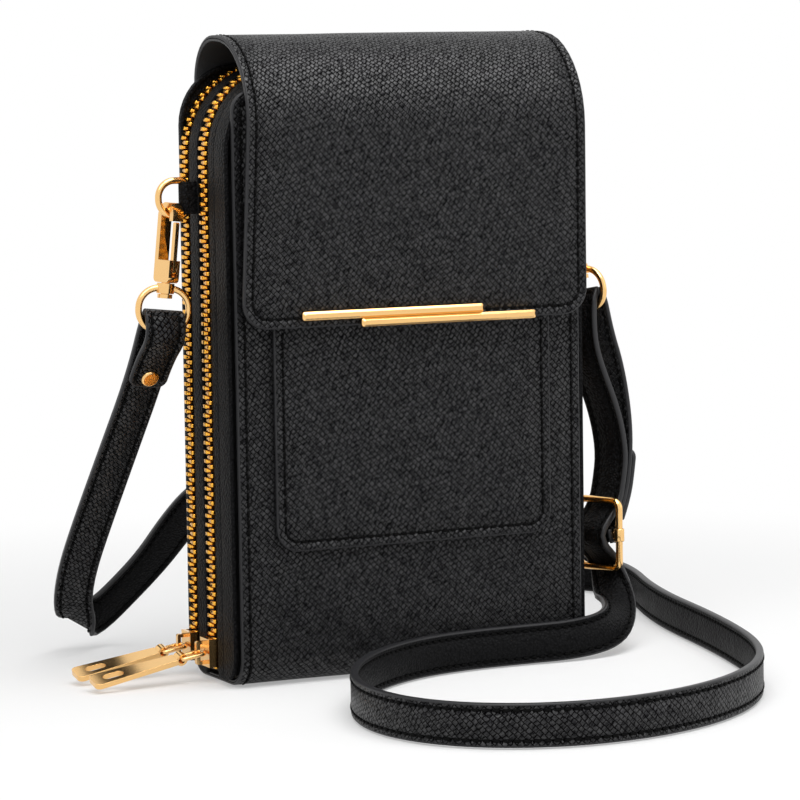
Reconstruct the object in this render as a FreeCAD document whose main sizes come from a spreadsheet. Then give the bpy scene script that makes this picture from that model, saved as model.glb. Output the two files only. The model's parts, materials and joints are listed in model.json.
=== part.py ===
"""A small upright cross-body phone bag with two side zips, a front flap and a clip-on strap.

The origin is the middle of the base on the floor, +X is to the right seen from the front,
+Y points to the back and +Z up. All lengths are millimetres.
"""

import FreeCAD, Part
import math
import os
from types import SimpleNamespace

import Sketcher
from FreeCAD import Placement, Rotation, Vector

# Driving dimensions: alias, value and what it measures
DIMENSIONS = [
    ("bag_width", 112.0, "front panel, side to side"),
    ("bag_depth", 39.0, "front panel to back panel, outside"),
    ("panel_thickness", 1.6, "embossed outer panel with its backing"),
    ("base_fold_radius", 9.0, "rounded fold between the base and the front or back, outside"),
    ("front_height", 168.0, "top of the front panel"),
    ("front_corner_radius", 13.0, "top corners of the front panel"),
    ("back_height", 172.0, "top of the back panel, where the flap hinges"),
    ("seam_gap", 0.1, "room left at a sewn seam"),
    ("gusset_reach", 2.0, "how far the gussets stand out past the panel edges"),
    ("gusset_thickness", 1.2, "gusset strip"),
    ("gusset_height", 174.0, "top of the zipped compartments"),
    ("gusset_corner_radius", 18.0, "top corners of the compartments, outside"),
    ("divider_thickness", 1.2, "lined divider between two compartments"),
    ("phone_pocket_depth", 8.0, "open space of the phone pocket"),
    ("board_thickness", 1.0, "stiffener in the base"),
    ("board_edge_gap", 2.0, "stiffener short of the folds and of the panel sides"),
    ("pocket_width", 90.0, "card pocket on the front panel"),
    ("pocket_bottom", 39.5, "lower edge of the card pocket"),
    ("pocket_top", 124.0, "mouth of the card pocket, under the flap"),
    ("pocket_corner_radius", 7.0, "lower corners of the card pocket"),
    ("pocket_skin", 1.2, "leather of the card pocket"),
    ("pocket_slot", 0.6, "room for cards behind the pocket skin"),
    ("pocket_seam", 3.0, "sewn margin round the card pocket"),
    ("front_zip_setback", 18.2, "front zip from the outside of the front panel"),
    ("rear_zip_setback", 6.0, "rear zip from the outside of the back panel"),
    ("zip_slot_width", 8.4, "gap between the gusset strips that a zip fills"),
    ("zip_foot", 3.5, "lower end of the zip chains"),
    ("tape_thickness", 0.6, "woven zip tape"),
    ("row_gap", 1.4, "gap between the two rows of teeth"),
    ("row_width", 1.9, "one row of teeth"),
    ("tooth_base", 1.1, "solid foot of the teeth on the tape"),
    ("tooth_height", 1.2, "tooth above its foot"),
    ("tooth_pitch", 3.6, "from one tooth to the next in a row"),
    ("tooth_length", 2.0, "one tooth along its row"),
    ("slider_height", 8.4, "slider along the chain"),
    ("slider_start", 4.6, "lower end of a slider at the closed end of its zip"),
    ("slider_plate", 1.1, "outer and inner plate of a slider"),
    ("slider_width", 7.0, "outer plate of a slider"),
    ("slider_inner_width", 5.0, "inner plate of a slider"),
    ("slider_neck", 1.0, "web between the two plates of a slider"),
    ("slider_rail", 0.65, "side rail of a slider"),
    ("slider_rail_depth", 1.8, "side rail towards the tape"),
    ("slide_clearance", 0.25, "slider to chain and tape"),
    ("bridge_height", 7.0, "bridge on the slider that holds the pull, along the chain"),
    ("bridge_width", 1.5, "bridge across the chain"),
    ("bridge_bar", 1.0, "thickness of the bridge"),
    ("bridge_room", 1.9, "space under the bridge"),
    ("link_wire", 1.3, "wire of the link between slider and pull"),
    ("link_length", 7.0, "link between the centre lines of its two bars"),
    ("link_width", 4.9, "link between the centre lines of its two arms"),
    ("link_corner_radius", 0.85, "corners of the link, centre line"),
    ("pull_length", 28.0, "pull tab from its knuckle to its tip"),
    ("pull_width", 7.5, "pull tab at its tip end"),
    ("pull_neck_width", 2.8, "pull tab at its knuckle"),
    ("pull_neck_length", 5.0, "narrow part of the pull tab"),
    ("pull_thickness", 1.8, "pull tab"),
    ("pull_slot_length", 6.5, "oval hole near the tip of the pull"),
    ("pull_slot_width", 2.6, "oval hole near the tip of the pull"),
    ("pull_slot_inset", 4.0, "oval hole from the tip of the pull"),
    ("pull_slot_radius", 1.25, "ends of the oval hole"),
    ("pull_tip_radius", 2.6, "corners at the tip of the pull"),
    ("pull_shoulder_radius", 1.6, "corners where the pull narrows to its neck"),
    ("pull_knuckle_wall", 0.8, "wall of the knuckle round the link"),
    ("pull_droop", 10.0, "degrees that the pulls hang below level"),
    ("pivot_clearance", 0.06, "radial play of a turning fit"),
    ("ring_tab_height", 7.2, "leather tab that carries a D-ring"),
    ("ring_tab_wall", 1.05, "leather round the bar of a D-ring"),
    ("ring_tab_reach", 2.5, "bar of a D-ring from the gusset"),
    ("d_ring_wire", 2.0, "wire of a D-ring"),
    ("d_ring_height", 10.3, "D-ring, centre line"),
    ("d_ring_reach", 8.6, "D-ring from its bar, centre line"),
    ("d_ring_bar_radius", 1.3, "corners at the bar of a D-ring, centre line"),
    ("d_ring_bow_radius", 4.9, "corners of the bow of a D-ring, centre line"),
    ("d_ring_level", 142.6, "middle of the D-rings"),
    ("right_d_ring_turn", -35.0, "degrees that the right D-ring is swung to the front"),
    ("hook_seat", 4.8, "hook on the D-ring, from the bar of the ring"),
    ("hook_width", 8.4, "snap hook"),
    ("hook_thickness", 3.6, "snap hook"),
    ("hook_bar", 1.9, "sides of the snap hook"),
    ("hook_crown", 1.75, "top of the snap hook"),
    ("hook_play", 1.2, "room between the D-ring and the crown of the hook"),
    ("hook_length", 23.5, "snap hook from its foot to the outside of its crown"),
    ("hook_crown_radius", 4.0, "outer corners of the crown"),
    ("hook_eye_radius", 2.1, "inner corners of the crown"),
    ("hook_foot", 6.6, "solid foot of the hook that holds the gate pin"),
    ("hook_foot_radius", 1.5, "lower corners of the hook"),
    ("hook_nose", 5.4, "tip of the hook below its outer crown"),
    ("gate_slot_width", 2.0, "slot in the hook foot for the gate"),
    ("gate_slot_depth", 3.4, "slot in the hook foot, across the hook"),
    ("gate_slot_floor", 1.7, "solid foot under the gate slot"),
    ("gate_thickness", 1.2, "gate of the hook"),
    ("gate_bar", 1.6, "gate along the hook's side"),
    ("gate_root_radius", 0.9, "lower corners of the gate"),
    ("gate_tip_radius", 0.5, "upper corners of the gate"),
    ("gate_root", 2.4, "wider root of the gate round its pin"),
    ("gate_root_height", 2.5, "wider root of the gate along the hook"),
    ("gate_gap", 0.3, "gate to the nose of the hook"),
    ("gate_pin_radius", 0.6, "pin of the gate"),
    ("gate_pin_inset", 1.2, "pin of the gate from the side of the hook"),
    ("gate_pin_level", 3.7, "pin of the gate above the foot of the hook"),
    ("gate_spring_radius", 1.1, "coil round the gate pin, outside"),
    ("gate_spring_width", 0.3, "coil round the gate pin"),
    ("post_radius", 1.3, "swivel post of a hook"),
    ("post_head_radius", 2.2, "head of the swivel post"),
    ("post_head", 1.2, "thickness of the post's head"),
    ("post_grip", 2.4, "post inside the foot of the hook"),
    ("post_play", 0.2, "end play of the swivel"),
    ("fixed_clearance", 0.01, "radial room of a fixed pin in its hole"),
    ("lug_radius", 2.6, "lug at the top of a swivel ring"),
    ("lug_height", 3.0, "lug at the top of a swivel ring"),
    ("swivel_wire", 2.0, "wire of a swivel ring"),
    ("swivel_width", 15.0, "swivel ring, centre line"),
    ("swivel_height", 12.4, "swivel ring, centre line"),
    ("swivel_corner_radius", 5.9, "corners of a swivel ring, centre line"),
    ("left_hook_lean", 6.0, "degrees that the left hook leans outwards"),
    ("left_lean_heading", 180.0, "degrees, the way the left hook leans"),
    ("left_hook_heading", 100.0, "degrees, plane of the left hook"),
    ("left_ring_heading", -10.0, "degrees, plane of the left swivel ring"),
    ("right_hook_lean", 11.0, "degrees that the right hook leans outwards"),
    ("right_lean_heading", -45.0, "degrees, the way the right hook leans"),
    ("right_hook_heading", 55.0, "degrees, plane of the right hook"),
    ("right_ring_heading", -66.0, "degrees, plane of the right swivel ring"),
    ("flap_bottom", 105.2, "lower edge of the closed flap"),
    ("flap_top", 190.0, "ridge of the closed flap"),
    ("flap_stand_off", 5.5, "front of the flap from the front panel, outside"),
    ("flap_back_radius", 14.0, "arch of the flap at the back, outside"),
    ("flap_front_radius", 28.0, "arch of the flap at the front, outside"),
    ("flap_corner_radius", 8.0, "lower corners of the flap"),
    ("flap_skin", 1.2, "outer leather of the flap"),
    ("flap_lining_thickness", 1.0, "lining of the flap"),
    ("hinge_gap", 0.3, "fold line between the back panel and the flap"),
    ("lining_setback", 0.8, "lining of the flap short of the fold line"),
    ("bar_height", 2.5, "metal bar on the flap"),
    ("bar_depth", 2.0, "metal bar on the flap"),
    ("bar_bevel", 0.6, "bevel of the metal bars"),
    ("upper_bar_length", 58.5, "upper metal bar"),
    ("upper_bar_start", -38.0, "left end of the upper metal bar"),
    ("lower_bar_length", 57.0, "lower metal bar"),
    ("lower_bar_start", -19.2, "left end of the lower metal bar"),
    ("lower_bar_drop", 0.4, "lower metal bar below the flap's edge"),
    ("magnet_radius", 6.5, "magnetic closure"),
    ("magnet_level", 114.0, "middle of the magnetic closure"),
    ("magnet_thickness", 0.8, "magnet on the card pocket"),
    ("strap_width", 12.0, "strap"),
    ("strap_thickness", 2.2, "strap"),
    ("strap_end_thickness", 1.6, "thinned ends of the strap"),
    ("strap_fold_radius", 2.4, "strap over a ring, centre line"),
    ("tail_fold_radius", 2.05, "strap end round the buckle's centre bar, centre line"),
    ("rivet_cap_radius", 2.7, "rivet of the left strap end"),
    ("rivet_cap", 0.9, "height of the rivet's caps"),
    ("rivet_shank_radius", 1.0, "rivet of the left strap end"),
    ("rivet_layer_room", 0.6, "room between the two layers at the rivet"),
    ("buckle_wire", 2.2, "wire of the buckle"),
    ("buckle_width", 15.4, "buckle frame, centre line"),
    ("buckle_height", 21.0, "buckle frame, centre line"),
    ("buckle_corner_radius", 2.4, "corners of the buckle frame, centre line"),
    ("buckle_sleeve_wall", 0.5, "curled end of the centre bar round the frame"),
    ("buckle_sleeve_height", 4.0, "curled end of the centre bar along the frame"),
    ("buckle_across", 73.3, "middle of the buckle from the middle of the bag"),
    ("buckle_back", 0.73, "middle of the buckle behind the middle of the bag"),
    ("buckle_level", 34.3, "middle of the buckle"),
    ("left_d_ring_turn", 180.0, "degrees, the way the left D-ring points"),
    ("cut_overrun", 1.0, "how far a cutting sketch passes the face it opens"),
]


class Size:
    """A length held as a number and as the sheet expression that gives it."""

    def __init__(self, value, text):
        self.value = value
        self.text = text

    def joined(self, sign, other, value):
        text = other.text if isinstance(other, Size) else repr(other)
        return Size(value, f"({self.text} {sign} {text})")

    def __add__(self, other):
        return self.joined("+", other, self.value + number(other))

    def __sub__(self, other):
        return self.joined("-", other, self.value - number(other))

    def __mul__(self, other):
        return self.joined("*", other, self.value * number(other))

    def __truediv__(self, other):
        return self.joined("/", other, self.value / number(other))

    def __neg__(self):
        return Size(-self.value, f"(-1 * {self.text})")


def number(size):
    """The plain number of a Size, or of a number."""
    return size.value if isinstance(size, Size) else float(size)


ZERO = Size(0.0, "0")
Y_AXIS = Vector(0, 1, 0)
Z_AXIS = Vector(0, 0, 1)
FULL_TURN = 360.0
HALF_TURN = 180.0

doc = FreeCAD.newDocument("PhonePouch")
sheet = doc.addObject("Spreadsheet::Sheet", "Sizes")
for row, (alias, value, meaning) in enumerate(DIMENSIONS, 1):
    sheet.set(f"A{row}", alias)
    sheet.set(f"B{row}", str(value))
    sheet.set(f"C{row}", meaning)
    sheet.setAlias(f"B{row}", alias)
doc.recompute()
size = SimpleNamespace()
for alias, _, _ in DIMENSIONS:
    setattr(size, alias, Size(float(sheet.get(alias)), f"Sizes.{alias}"))
sub_parts = []


def new_body(label):
    """An empty body that becomes one sub-part."""
    body = doc.addObject("PartDesign::Body", label)
    body.Label = label
    sub_parts.append(body)
    return body


def place(item, x=ZERO, y=ZERO, z=ZERO):
    """Binds the place of an item to the sheet."""
    for axis, distance in zip("xyz", (x, y, z)):
        item.setExpression(f"Placement.Base.{axis}", distance.text)


def new_sketch(body, plane, name):
    """A sketch on one of the body's own origin planes: XY, XZ or YZ."""
    sketch = body.newObject("Sketcher::SketchObject", f"{body.Name}_{name}")
    origin_plane = next(item for item in body.Origin.OriginFeatures if item.Role == f"{plane}_Plane")
    sketch.AttachmentSupport = [(origin_plane, "")]
    sketch.MapMode = "FlatFace"
    return sketch


def pin_point(sketch, edge, end, across, up):
    """Ties one end of an edge to its place from the sketch's origin."""
    for kind, distance in (("DistanceX", across), ("DistanceY", up)):
        constraint = sketch.addConstraint(Sketcher.Constraint(kind, -1, 1, edge, end, distance.value))
        sketch.setExpression(f"Constraints[{constraint}]", distance.text)


def heading(start, finish):
    """Signs of the step from one square corner to the next, across and up."""
    steps = [finish[axis].value - start[axis].value for axis in (0, 1)]
    return [(step > 0) - (step < 0) for step in steps]


def shifted(point, direction, distance):
    """A point moved along a square direction by a Size."""
    moved = []
    for along, step in zip(point, direction):
        moved.append(along + distance * step if step else along)
    return tuple(moved)


def draw_outline(sketch, corners):
    """Draws a closed outline of upright and level lines.

    Each corner is its place across and up and, where it is round, a radius.
    """
    stretches = []
    for index, corner in enumerate(corners):
        before = corners[index - 1]
        after = corners[(index + 1) % len(corners)]
        point = corner[:2]
        if len(corner) == 2:
            stretches.append([point])
            continue
        radius = corner[2]
        arrival = heading(before, corner)
        departure = heading(corner, after)
        first = shifted(point, arrival, -radius)
        last = shifted(point, departure, radius)
        stretches.append([first, last, radius, arrival, departure])
    edges = []
    for index, stretch in enumerate(stretches):
        if len(stretch) > 1:
            edges.append(draw_corner(sketch, *stretch))
        after = stretches[(index + 1) % len(stretches)]
        start = stretch[1] if len(stretch) > 1 else stretch[0]
        line = Part.LineSegment(flat_point(start), flat_point(after[0]))
        edges.append((sketch.addGeometry(line), 1, 2, start))
    for index, (edge, first_end, _, start) in enumerate(edges):
        before, _, last_end, _ = edges[index - 1]
        sketch.addConstraint(Sketcher.Constraint("Coincident", before, last_end, edge, first_end))
        pin_point(sketch, edge, first_end, *start)


def flat_point(point):
    """A sketch point as a vector."""
    return Vector(point[0].value, point[1].value, 0)


def draw_corner(sketch, first, last, radius, arrival, departure):
    """Draws the round corner between two square lines and binds its radius."""
    turns_left = arrival[0] * departure[1] - arrival[1] * departure[0] > 0
    start, finish = flat_point(first), flat_point(last)
    centre = start + Vector(departure[0], departure[1], 0) * radius.value
    outwards = (start - centre + finish - centre).normalize()
    arc = sketch.addGeometry(Part.Arc(start, centre + outwards * radius.value, finish))
    bend = sketch.addConstraint(Sketcher.Constraint("Radius", arc, radius.value))
    sketch.setExpression(f"Constraints[{bend}]", radius.text)
    return (arc, 1, 2, first) if turns_left else (arc, 2, 1, first)


def draw_circle(sketch, across, up, radius):
    """Draws a circle bound to the sheet."""
    centre = Vector(across.value, up.value, 0)
    circle = sketch.addGeometry(Part.Circle(centre, Z_AXIS, radius.value))
    pin_point(sketch, circle, 3, across, up)
    bend = sketch.addConstraint(Sketcher.Constraint("Radius", circle, radius.value))
    sketch.setExpression(f"Constraints[{bend}]", radius.text)


def box_corners(left, low, right, high, *radii):
    """Corners of a rectangle, with up to four radii from the lower left round to the upper left."""
    corners = [(left, low), (right, low), (right, high), (left, high)]
    for index, radius in enumerate(radii):
        if radius is not None:
            corners[index] += (radius,)
    return corners


def add_pad(body, sketch, length, both_sides=False):
    """Pads a sketch by a length, to one side or evenly to both."""
    pad = body.newObject("PartDesign::Pad", f"{sketch.Name}_pad")
    pad.Profile = sketch
    pad.SideType = "Symmetric" if both_sides else "One side"
    pad.setExpression("Length", length.text)
    sketch.Visibility = False
    doc.recompute()
    return pad


def add_pocket(body, sketch, length, both_sides=False, turned=False):
    """Cuts a sketch out of the body and makes sure that it took something away."""
    volume = body.Tip.Shape.Volume
    pocket = body.newObject("PartDesign::Pocket", f"{sketch.Name}_cut")
    pocket.Profile = sketch
    pocket.SideType = "Symmetric" if both_sides else "One side"
    pocket.Reversed = turned
    pocket.setExpression("Length", length.text)
    sketch.Visibility = False
    doc.recompute()
    if pocket.Shape.Volume >= volume:
        raise RuntimeError(f"{sketch.Name} cuts nothing")
    return pocket


def add_turned(body, profile):
    """Turns a half profile once round its upright axis."""
    turned = body.newObject("PartDesign::Revolution", f"{body.Name}_turned")
    turned.Profile = profile
    turned.ReferenceAxis = (profile, ["V_Axis"])
    turned.Angle = FULL_TURN
    doc.recompute()


def add_shape(label, shape):
    """A sub-part whose shape is made directly."""
    item = doc.addObject("Part::Feature", label)
    item.Label = label
    item.Shape = shape
    sub_parts.append(item)
    return item


def padded(label, plane, corners, length, both_sides=False):
    """A sub-part that is one padded outline."""
    body = new_body(label)
    sketch = new_sketch(body, plane, "outline")
    draw_outline(sketch, corners)
    add_pad(body, sketch, length, both_sides)
    return body


def edge_names(shape, chosen):
    """Names of the edges of a shape whose middle passes a test."""
    names = []
    for index, edge in enumerate(shape.Edges, 1):
        if chosen(edge, edge.CenterOfMass):
            names.append(f"Edge{index}")
    return names


def along(edge, axis):
    """True for a straight edge that runs along an axis."""
    if not isinstance(edge.Curve, Part.Line):
        return False
    return abs(abs(edge.Curve.Direction.dot(axis)) - 1) < Part.Precision.angular()


def dress_edges(body, kind, chosen, amount):
    """Rounds or bevels the chosen edges of a body."""
    feature = body.newObject(f"PartDesign::{kind}", f"{body.Name}_{kind.lower()}")
    tip = feature.BaseFeature
    feature.Base = (tip, edge_names(tip.Shape, chosen))
    feature.setExpression("Radius" if kind == "Fillet" else "Size", amount.text)
    doc.recompute()
    return feature


# Faces that several pieces share
half_width = size.bag_width / 2
front_face = -size.bag_depth / 2
back_face = size.bag_depth / 2
front_inside = front_face + size.panel_thickness
back_inside = back_face - size.panel_thickness
base_top = size.panel_thickness
inner_fold_radius = size.base_fold_radius - size.panel_thickness
phone_divider_face = front_inside + size.phone_pocket_depth
gusset_half = half_width + size.gusset_reach
front_zip_line = front_face + size.front_zip_setback
rear_zip_line = back_face - size.rear_zip_setback
slot_half = size.zip_slot_width / 2
strip_front = front_zip_line + slot_half
strip_back = rear_zip_line - slot_half
strip_middle = (strip_front + strip_back) / 2


def make_wrap_panel():
    """Front, base and back in one folded sheet, with the front's top corners rounded."""
    body = padded(
        "wrap_panel",
        "YZ",
        [
            (front_face, size.front_height),
            (front_face, ZERO, size.base_fold_radius),
            (back_face, ZERO, size.base_fold_radius),
            (back_face, size.back_height),
            (back_inside, size.back_height),
            (back_inside, base_top, inner_fold_radius),
            (front_inside, base_top, inner_fold_radius),
            (front_inside, size.front_height),
        ],
        size.bag_width,
        both_sides=True,
    )
    top = size.front_height.value

    def front_corner(edge, middle):
        level = abs(middle.z - top) < Part.Precision.confusion()
        return level and along(edge, Y_AXIS) and middle.y < 0

    dress_edges(body, "Fillet", front_corner, size.front_corner_radius)


def inverted_u(half, top, radius, thickness, foot):
    """Corners of a band that goes up one side, over the top and down the other side."""
    inner_radius = radius - thickness
    return [
        (-half, foot),
        (-half, top, radius),
        (half, top, radius),
        (half, foot),
        (half - thickness, foot),
        (half - thickness, top - thickness, inner_radius),
        (thickness - half, top - thickness, inner_radius),
        (thickness - half, foot),
    ]


def band(label, front, back, inset, thickness, foot):
    """A band round the compartments between two depths, at an inset from the gussets' outside."""
    corners = inverted_u(
        gusset_half - inset,
        size.gusset_height - inset,
        size.gusset_corner_radius - inset,
        thickness,
        foot,
    )
    body = padded(label, "XZ", corners, back - front)
    place(body, y=back)
    return body


def make_gussets():
    """The strips beside the zips, and the side walls of the phone pocket."""
    foot = base_top + size.seam_gap
    front_edge = phone_divider_face
    band("front_gusset_band", front_edge, front_zip_line - slot_half, ZERO, size.gusset_thickness, foot)
    band("centre_gusset_band", strip_front, strip_back, ZERO, size.gusset_thickness, foot)
    for label, start in (
        ("left_phone_gusset", -gusset_half),
        ("right_phone_gusset", gusset_half - size.gusset_thickness),
    ):
        corners = box_corners(
            front_inside + size.seam_gap,
            foot,
            phone_divider_face - size.seam_gap,
            size.front_height - size.front_corner_radius,
            inner_fold_radius,
        )
        body = padded(label, "YZ", corners, size.gusset_thickness)
        place(body, x=start)


def make_dividers():
    """The two stiff walls inside and the board in the base."""
    inset = size.gusset_thickness + size.seam_gap
    board_top = base_top + size.board_thickness
    for label, front in (
        ("phone_divider", phone_divider_face),
        ("centre_divider", strip_middle - size.divider_thickness / 2),
    ):
        half = gusset_half - inset
        radius = size.gusset_corner_radius - inset
        top = size.gusset_height - inset
        corners = box_corners(-half, board_top, half, top, None, None, radius, radius)
        body = padded(label, "XZ", corners, size.divider_thickness)
        place(body, y=front + size.divider_thickness)
    half_length = half_width - size.board_edge_gap
    half_depth = size.bag_depth / 2 - size.base_fold_radius
    board_corners = box_corners(-half_length, -half_depth, half_length, half_depth)
    board = padded("base_board", "XY", board_corners, size.board_thickness)
    place(board, z=base_top)


def make_card_pocket():
    """A patch sewn to the front panel along its sides and its foot, open at the top."""
    half = size.pocket_width / 2
    radius = size.pocket_corner_radius
    body = padded(
        "card_pocket",
        "XZ",
        box_corners(-half, size.pocket_bottom, half, size.pocket_top, radius, radius),
        size.pocket_slot + size.pocket_skin,
    )
    slot = new_sketch(body, "XZ", "slot")
    inner = half - size.pocket_seam
    draw_outline(
        slot,
        box_corners(
            -inner, size.pocket_bottom + size.pocket_seam, inner, size.pocket_top + size.cut_overrun
        ),
    )
    add_pocket(body, slot, size.pocket_slot, turned=True)
    place(body, y=front_face)


def zip_strips(label, line, front_edge, back_edge, back_foot):
    """The two strips of tape beside a chain, one solid each."""
    inset = size.gusset_thickness
    row_edge = size.row_gap / 2
    pieces = [
        band(f"{label}_front", front_edge, line - row_edge, inset, size.tape_thickness, size.zip_foot),
        band(f"{label}_back", line + row_edge, back_edge, inset, size.tape_thickness, back_foot),
    ]
    for piece in pieces:
        sub_parts.remove(piece)
    pair = doc.addObject("Part::Compound", label)
    pair.Label = label
    pair.Links = pieces
    sub_parts.append(pair)


def make_zip_tapes():
    """Woven tapes behind the gusset strips."""
    divider_front = strip_middle - size.divider_thickness / 2
    divider_back = strip_middle + size.divider_thickness / 2
    divider_rear = phone_divider_face + size.divider_thickness
    zip_strips(
        "front_zip_tape",
        front_zip_line,
        divider_rear + size.seam_gap,
        divider_front - size.seam_gap,
        size.zip_foot,
    )
    zip_strips(
        "rear_zip_tape",
        rear_zip_line,
        divider_back + size.seam_gap,
        back_inside - size.seam_gap,
        size.base_fold_radius,
    )


class ChainPath:
    """The line that a row of teeth follows: up one side, over the top and down the other."""

    def __init__(self):
        inset = size.gusset_thickness.value
        self.half = gusset_half.value - inset
        self.top = size.gusset_height.value - inset
        self.radius = size.gusset_corner_radius.value - inset
        self.foot = size.zip_foot.value
        self.side = self.top - self.radius - self.foot
        self.bend = math.pi / 2 * self.radius
        self.level = 2 * (self.half - self.radius)
        self.length = 2 * self.side + 2 * self.bend + self.level

    def point(self, run, rise):
        """The point at a run along the path, raised from it."""
        across, up, angle = self.turned(run)
        return Vector(across + rise * math.cos(angle), 0, up + rise * math.sin(angle))

    def turned(self, run):
        """Place across and up, and the angle of the way out, at a run along the path."""
        if run > self.length / 2:
            across, up, angle = self.turned(self.length - run)
            return -across, up, math.pi - angle
        if run < self.side:
            return -self.half, self.foot + run, math.pi
        if run < self.side + self.bend:
            angle = math.pi - (run - self.side) / self.radius
            across = self.radius - self.half + self.radius * math.cos(angle)
            return across, self.top - self.radius + self.radius * math.sin(angle), angle
        return self.radius - self.half + run - self.side - self.bend, self.top, math.pi / 2


def tooth_row(path, phase_share):
    """The side outline of one row: teeth along the outside, the tape's line along the inside."""
    low = size.tooth_base.value
    high = low + size.tooth_height.value
    half_tooth = size.tooth_length.value / 2
    pitch = size.tooth_pitch.value
    points = [path.point(0, 0), path.point(0, low)]
    run = pitch * (1 / 2 + phase_share)
    while run + half_tooth < path.length:
        points += [path.point(run - half_tooth, low), path.point(run - half_tooth, high)]
        points += [path.point(run + half_tooth, high), path.point(run + half_tooth, low)]
        run += pitch
    points += [path.point(path.length, low), path.point(path.length, 0)]
    edges = Part.makePolygon(points).Edges
    bend_start = path.length - path.side
    for start in (bend_start, path.side + path.bend):
        line_end = path.point(start, 0)
        edges.append(Part.LineSegment(edges[-1].Vertexes[-1].Point, line_end).toShape())
        middle = path.point(start - path.bend / 2, 0)
        edges.append(Part.Arc(line_end, middle, path.point(start - path.bend, 0)).toShape())
    edges.append(Part.LineSegment(path.point(path.side, 0), path.point(0, 0)).toShape())
    return Part.Face(Part.Wire(edges))


def make_zip_teeth():
    """Two rows of metal teeth a zip, half a pitch apart."""
    path = ChainPath()
    width = Vector(0, size.row_width.value, 0)
    inner = size.row_gap.value / 2
    for label, line in (("front_zip_teeth", front_zip_line), ("rear_zip_teeth", rear_zip_line)):
        rows = []
        for phase_share, start in ((0, inner), (1 / 2, -inner - size.row_width.value)):
            row = tooth_row(path, phase_share).extrude(width)
            row.translate(Vector(0, start, 0))
            rows.append(row)
        teeth = add_shape(label, Part.Compound(rows))
        place(teeth, y=line)


# Levels of the zips out from the middle of the bag
tape_inside = gusset_half - size.gusset_thickness - size.tape_thickness
chain_outside = gusset_half - size.gusset_thickness + size.tooth_base + size.tooth_height
slider_face = chain_outside + size.slide_clearance + size.slider_plate
pull_axis = slider_face + size.bridge_room / 2
pull_level = size.slider_start + size.slider_height / 2


def lifted_sketch(body, plane, name, lift):
    """A sketch on an origin plane moved along the plane's normal."""
    sketch = new_sketch(body, plane, name)
    sketch.setExpression("AttachmentOffset.Base.z", lift.text)
    return sketch


def make_slider(label, line):
    """Two plates joined by a neck that runs between the rows, with rails and a bridge for the pull."""
    half = size.slider_width / 2
    inner_half = size.slider_inner_width / 2
    neck = size.slider_neck / 2
    rail = half - size.slider_rail
    plate_back = -slider_face + size.slider_plate
    rail_foot = plate_back + size.slider_rail_depth
    inner_front = -tape_inside + size.slide_clearance
    inner_back = inner_front + size.slider_plate
    body = new_body(label)
    section = new_sketch(body, "XY", "section")
    draw_outline(
        section,
        [
            (inner_back, -inner_half),
            (inner_back, inner_half),
            (inner_front, inner_half),
            (inner_front, neck),
            (plate_back, neck),
            (plate_back, rail),
            (rail_foot, rail),
            (rail_foot, half),
            (-slider_face, half),
            (-slider_face, -half),
            (rail_foot, -half),
            (rail_foot, -rail),
            (plate_back, -rail),
            (plate_back, -neck),
            (inner_front, -neck),
            (inner_front, -inner_half),
        ],
    )
    add_pad(body, section, size.slider_height)
    bridge = new_sketch(body, "XZ", "bridge")
    low = (size.slider_height - size.bridge_height) / 2
    high = low + size.bridge_height
    under = -slider_face - size.bridge_room
    draw_outline(
        bridge,
        [
            (-slider_face, low),
            (-slider_face, low + size.bridge_bar),
            (under, low + size.bridge_bar),
            (under, high - size.bridge_bar),
            (-slider_face, high - size.bridge_bar),
            (-slider_face, high),
            (under - size.bridge_bar, high, size.bridge_bar / 2),
            (under - size.bridge_bar, low, size.bridge_bar / 2),
        ],
    )
    add_pad(body, bridge, size.bridge_width, both_sides=True)
    place(body, y=line, z=size.slider_start)


def wire_loop(body, plane, corners, section_plane, across, up, wire):
    """Bends a round wire along a closed outline; the section stands at the outline's first corner."""
    path = new_sketch(body, plane, "path")
    draw_outline(path, corners)
    section = new_sketch(body, section_plane, "wire")
    draw_circle(section, across, up, wire / 2)
    pipe = body.newObject("PartDesign::AdditivePipe", f"{body.Name}_pipe")
    pipe.Profile = section
    pipe.Spine = path
    doc.recompute()


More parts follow.
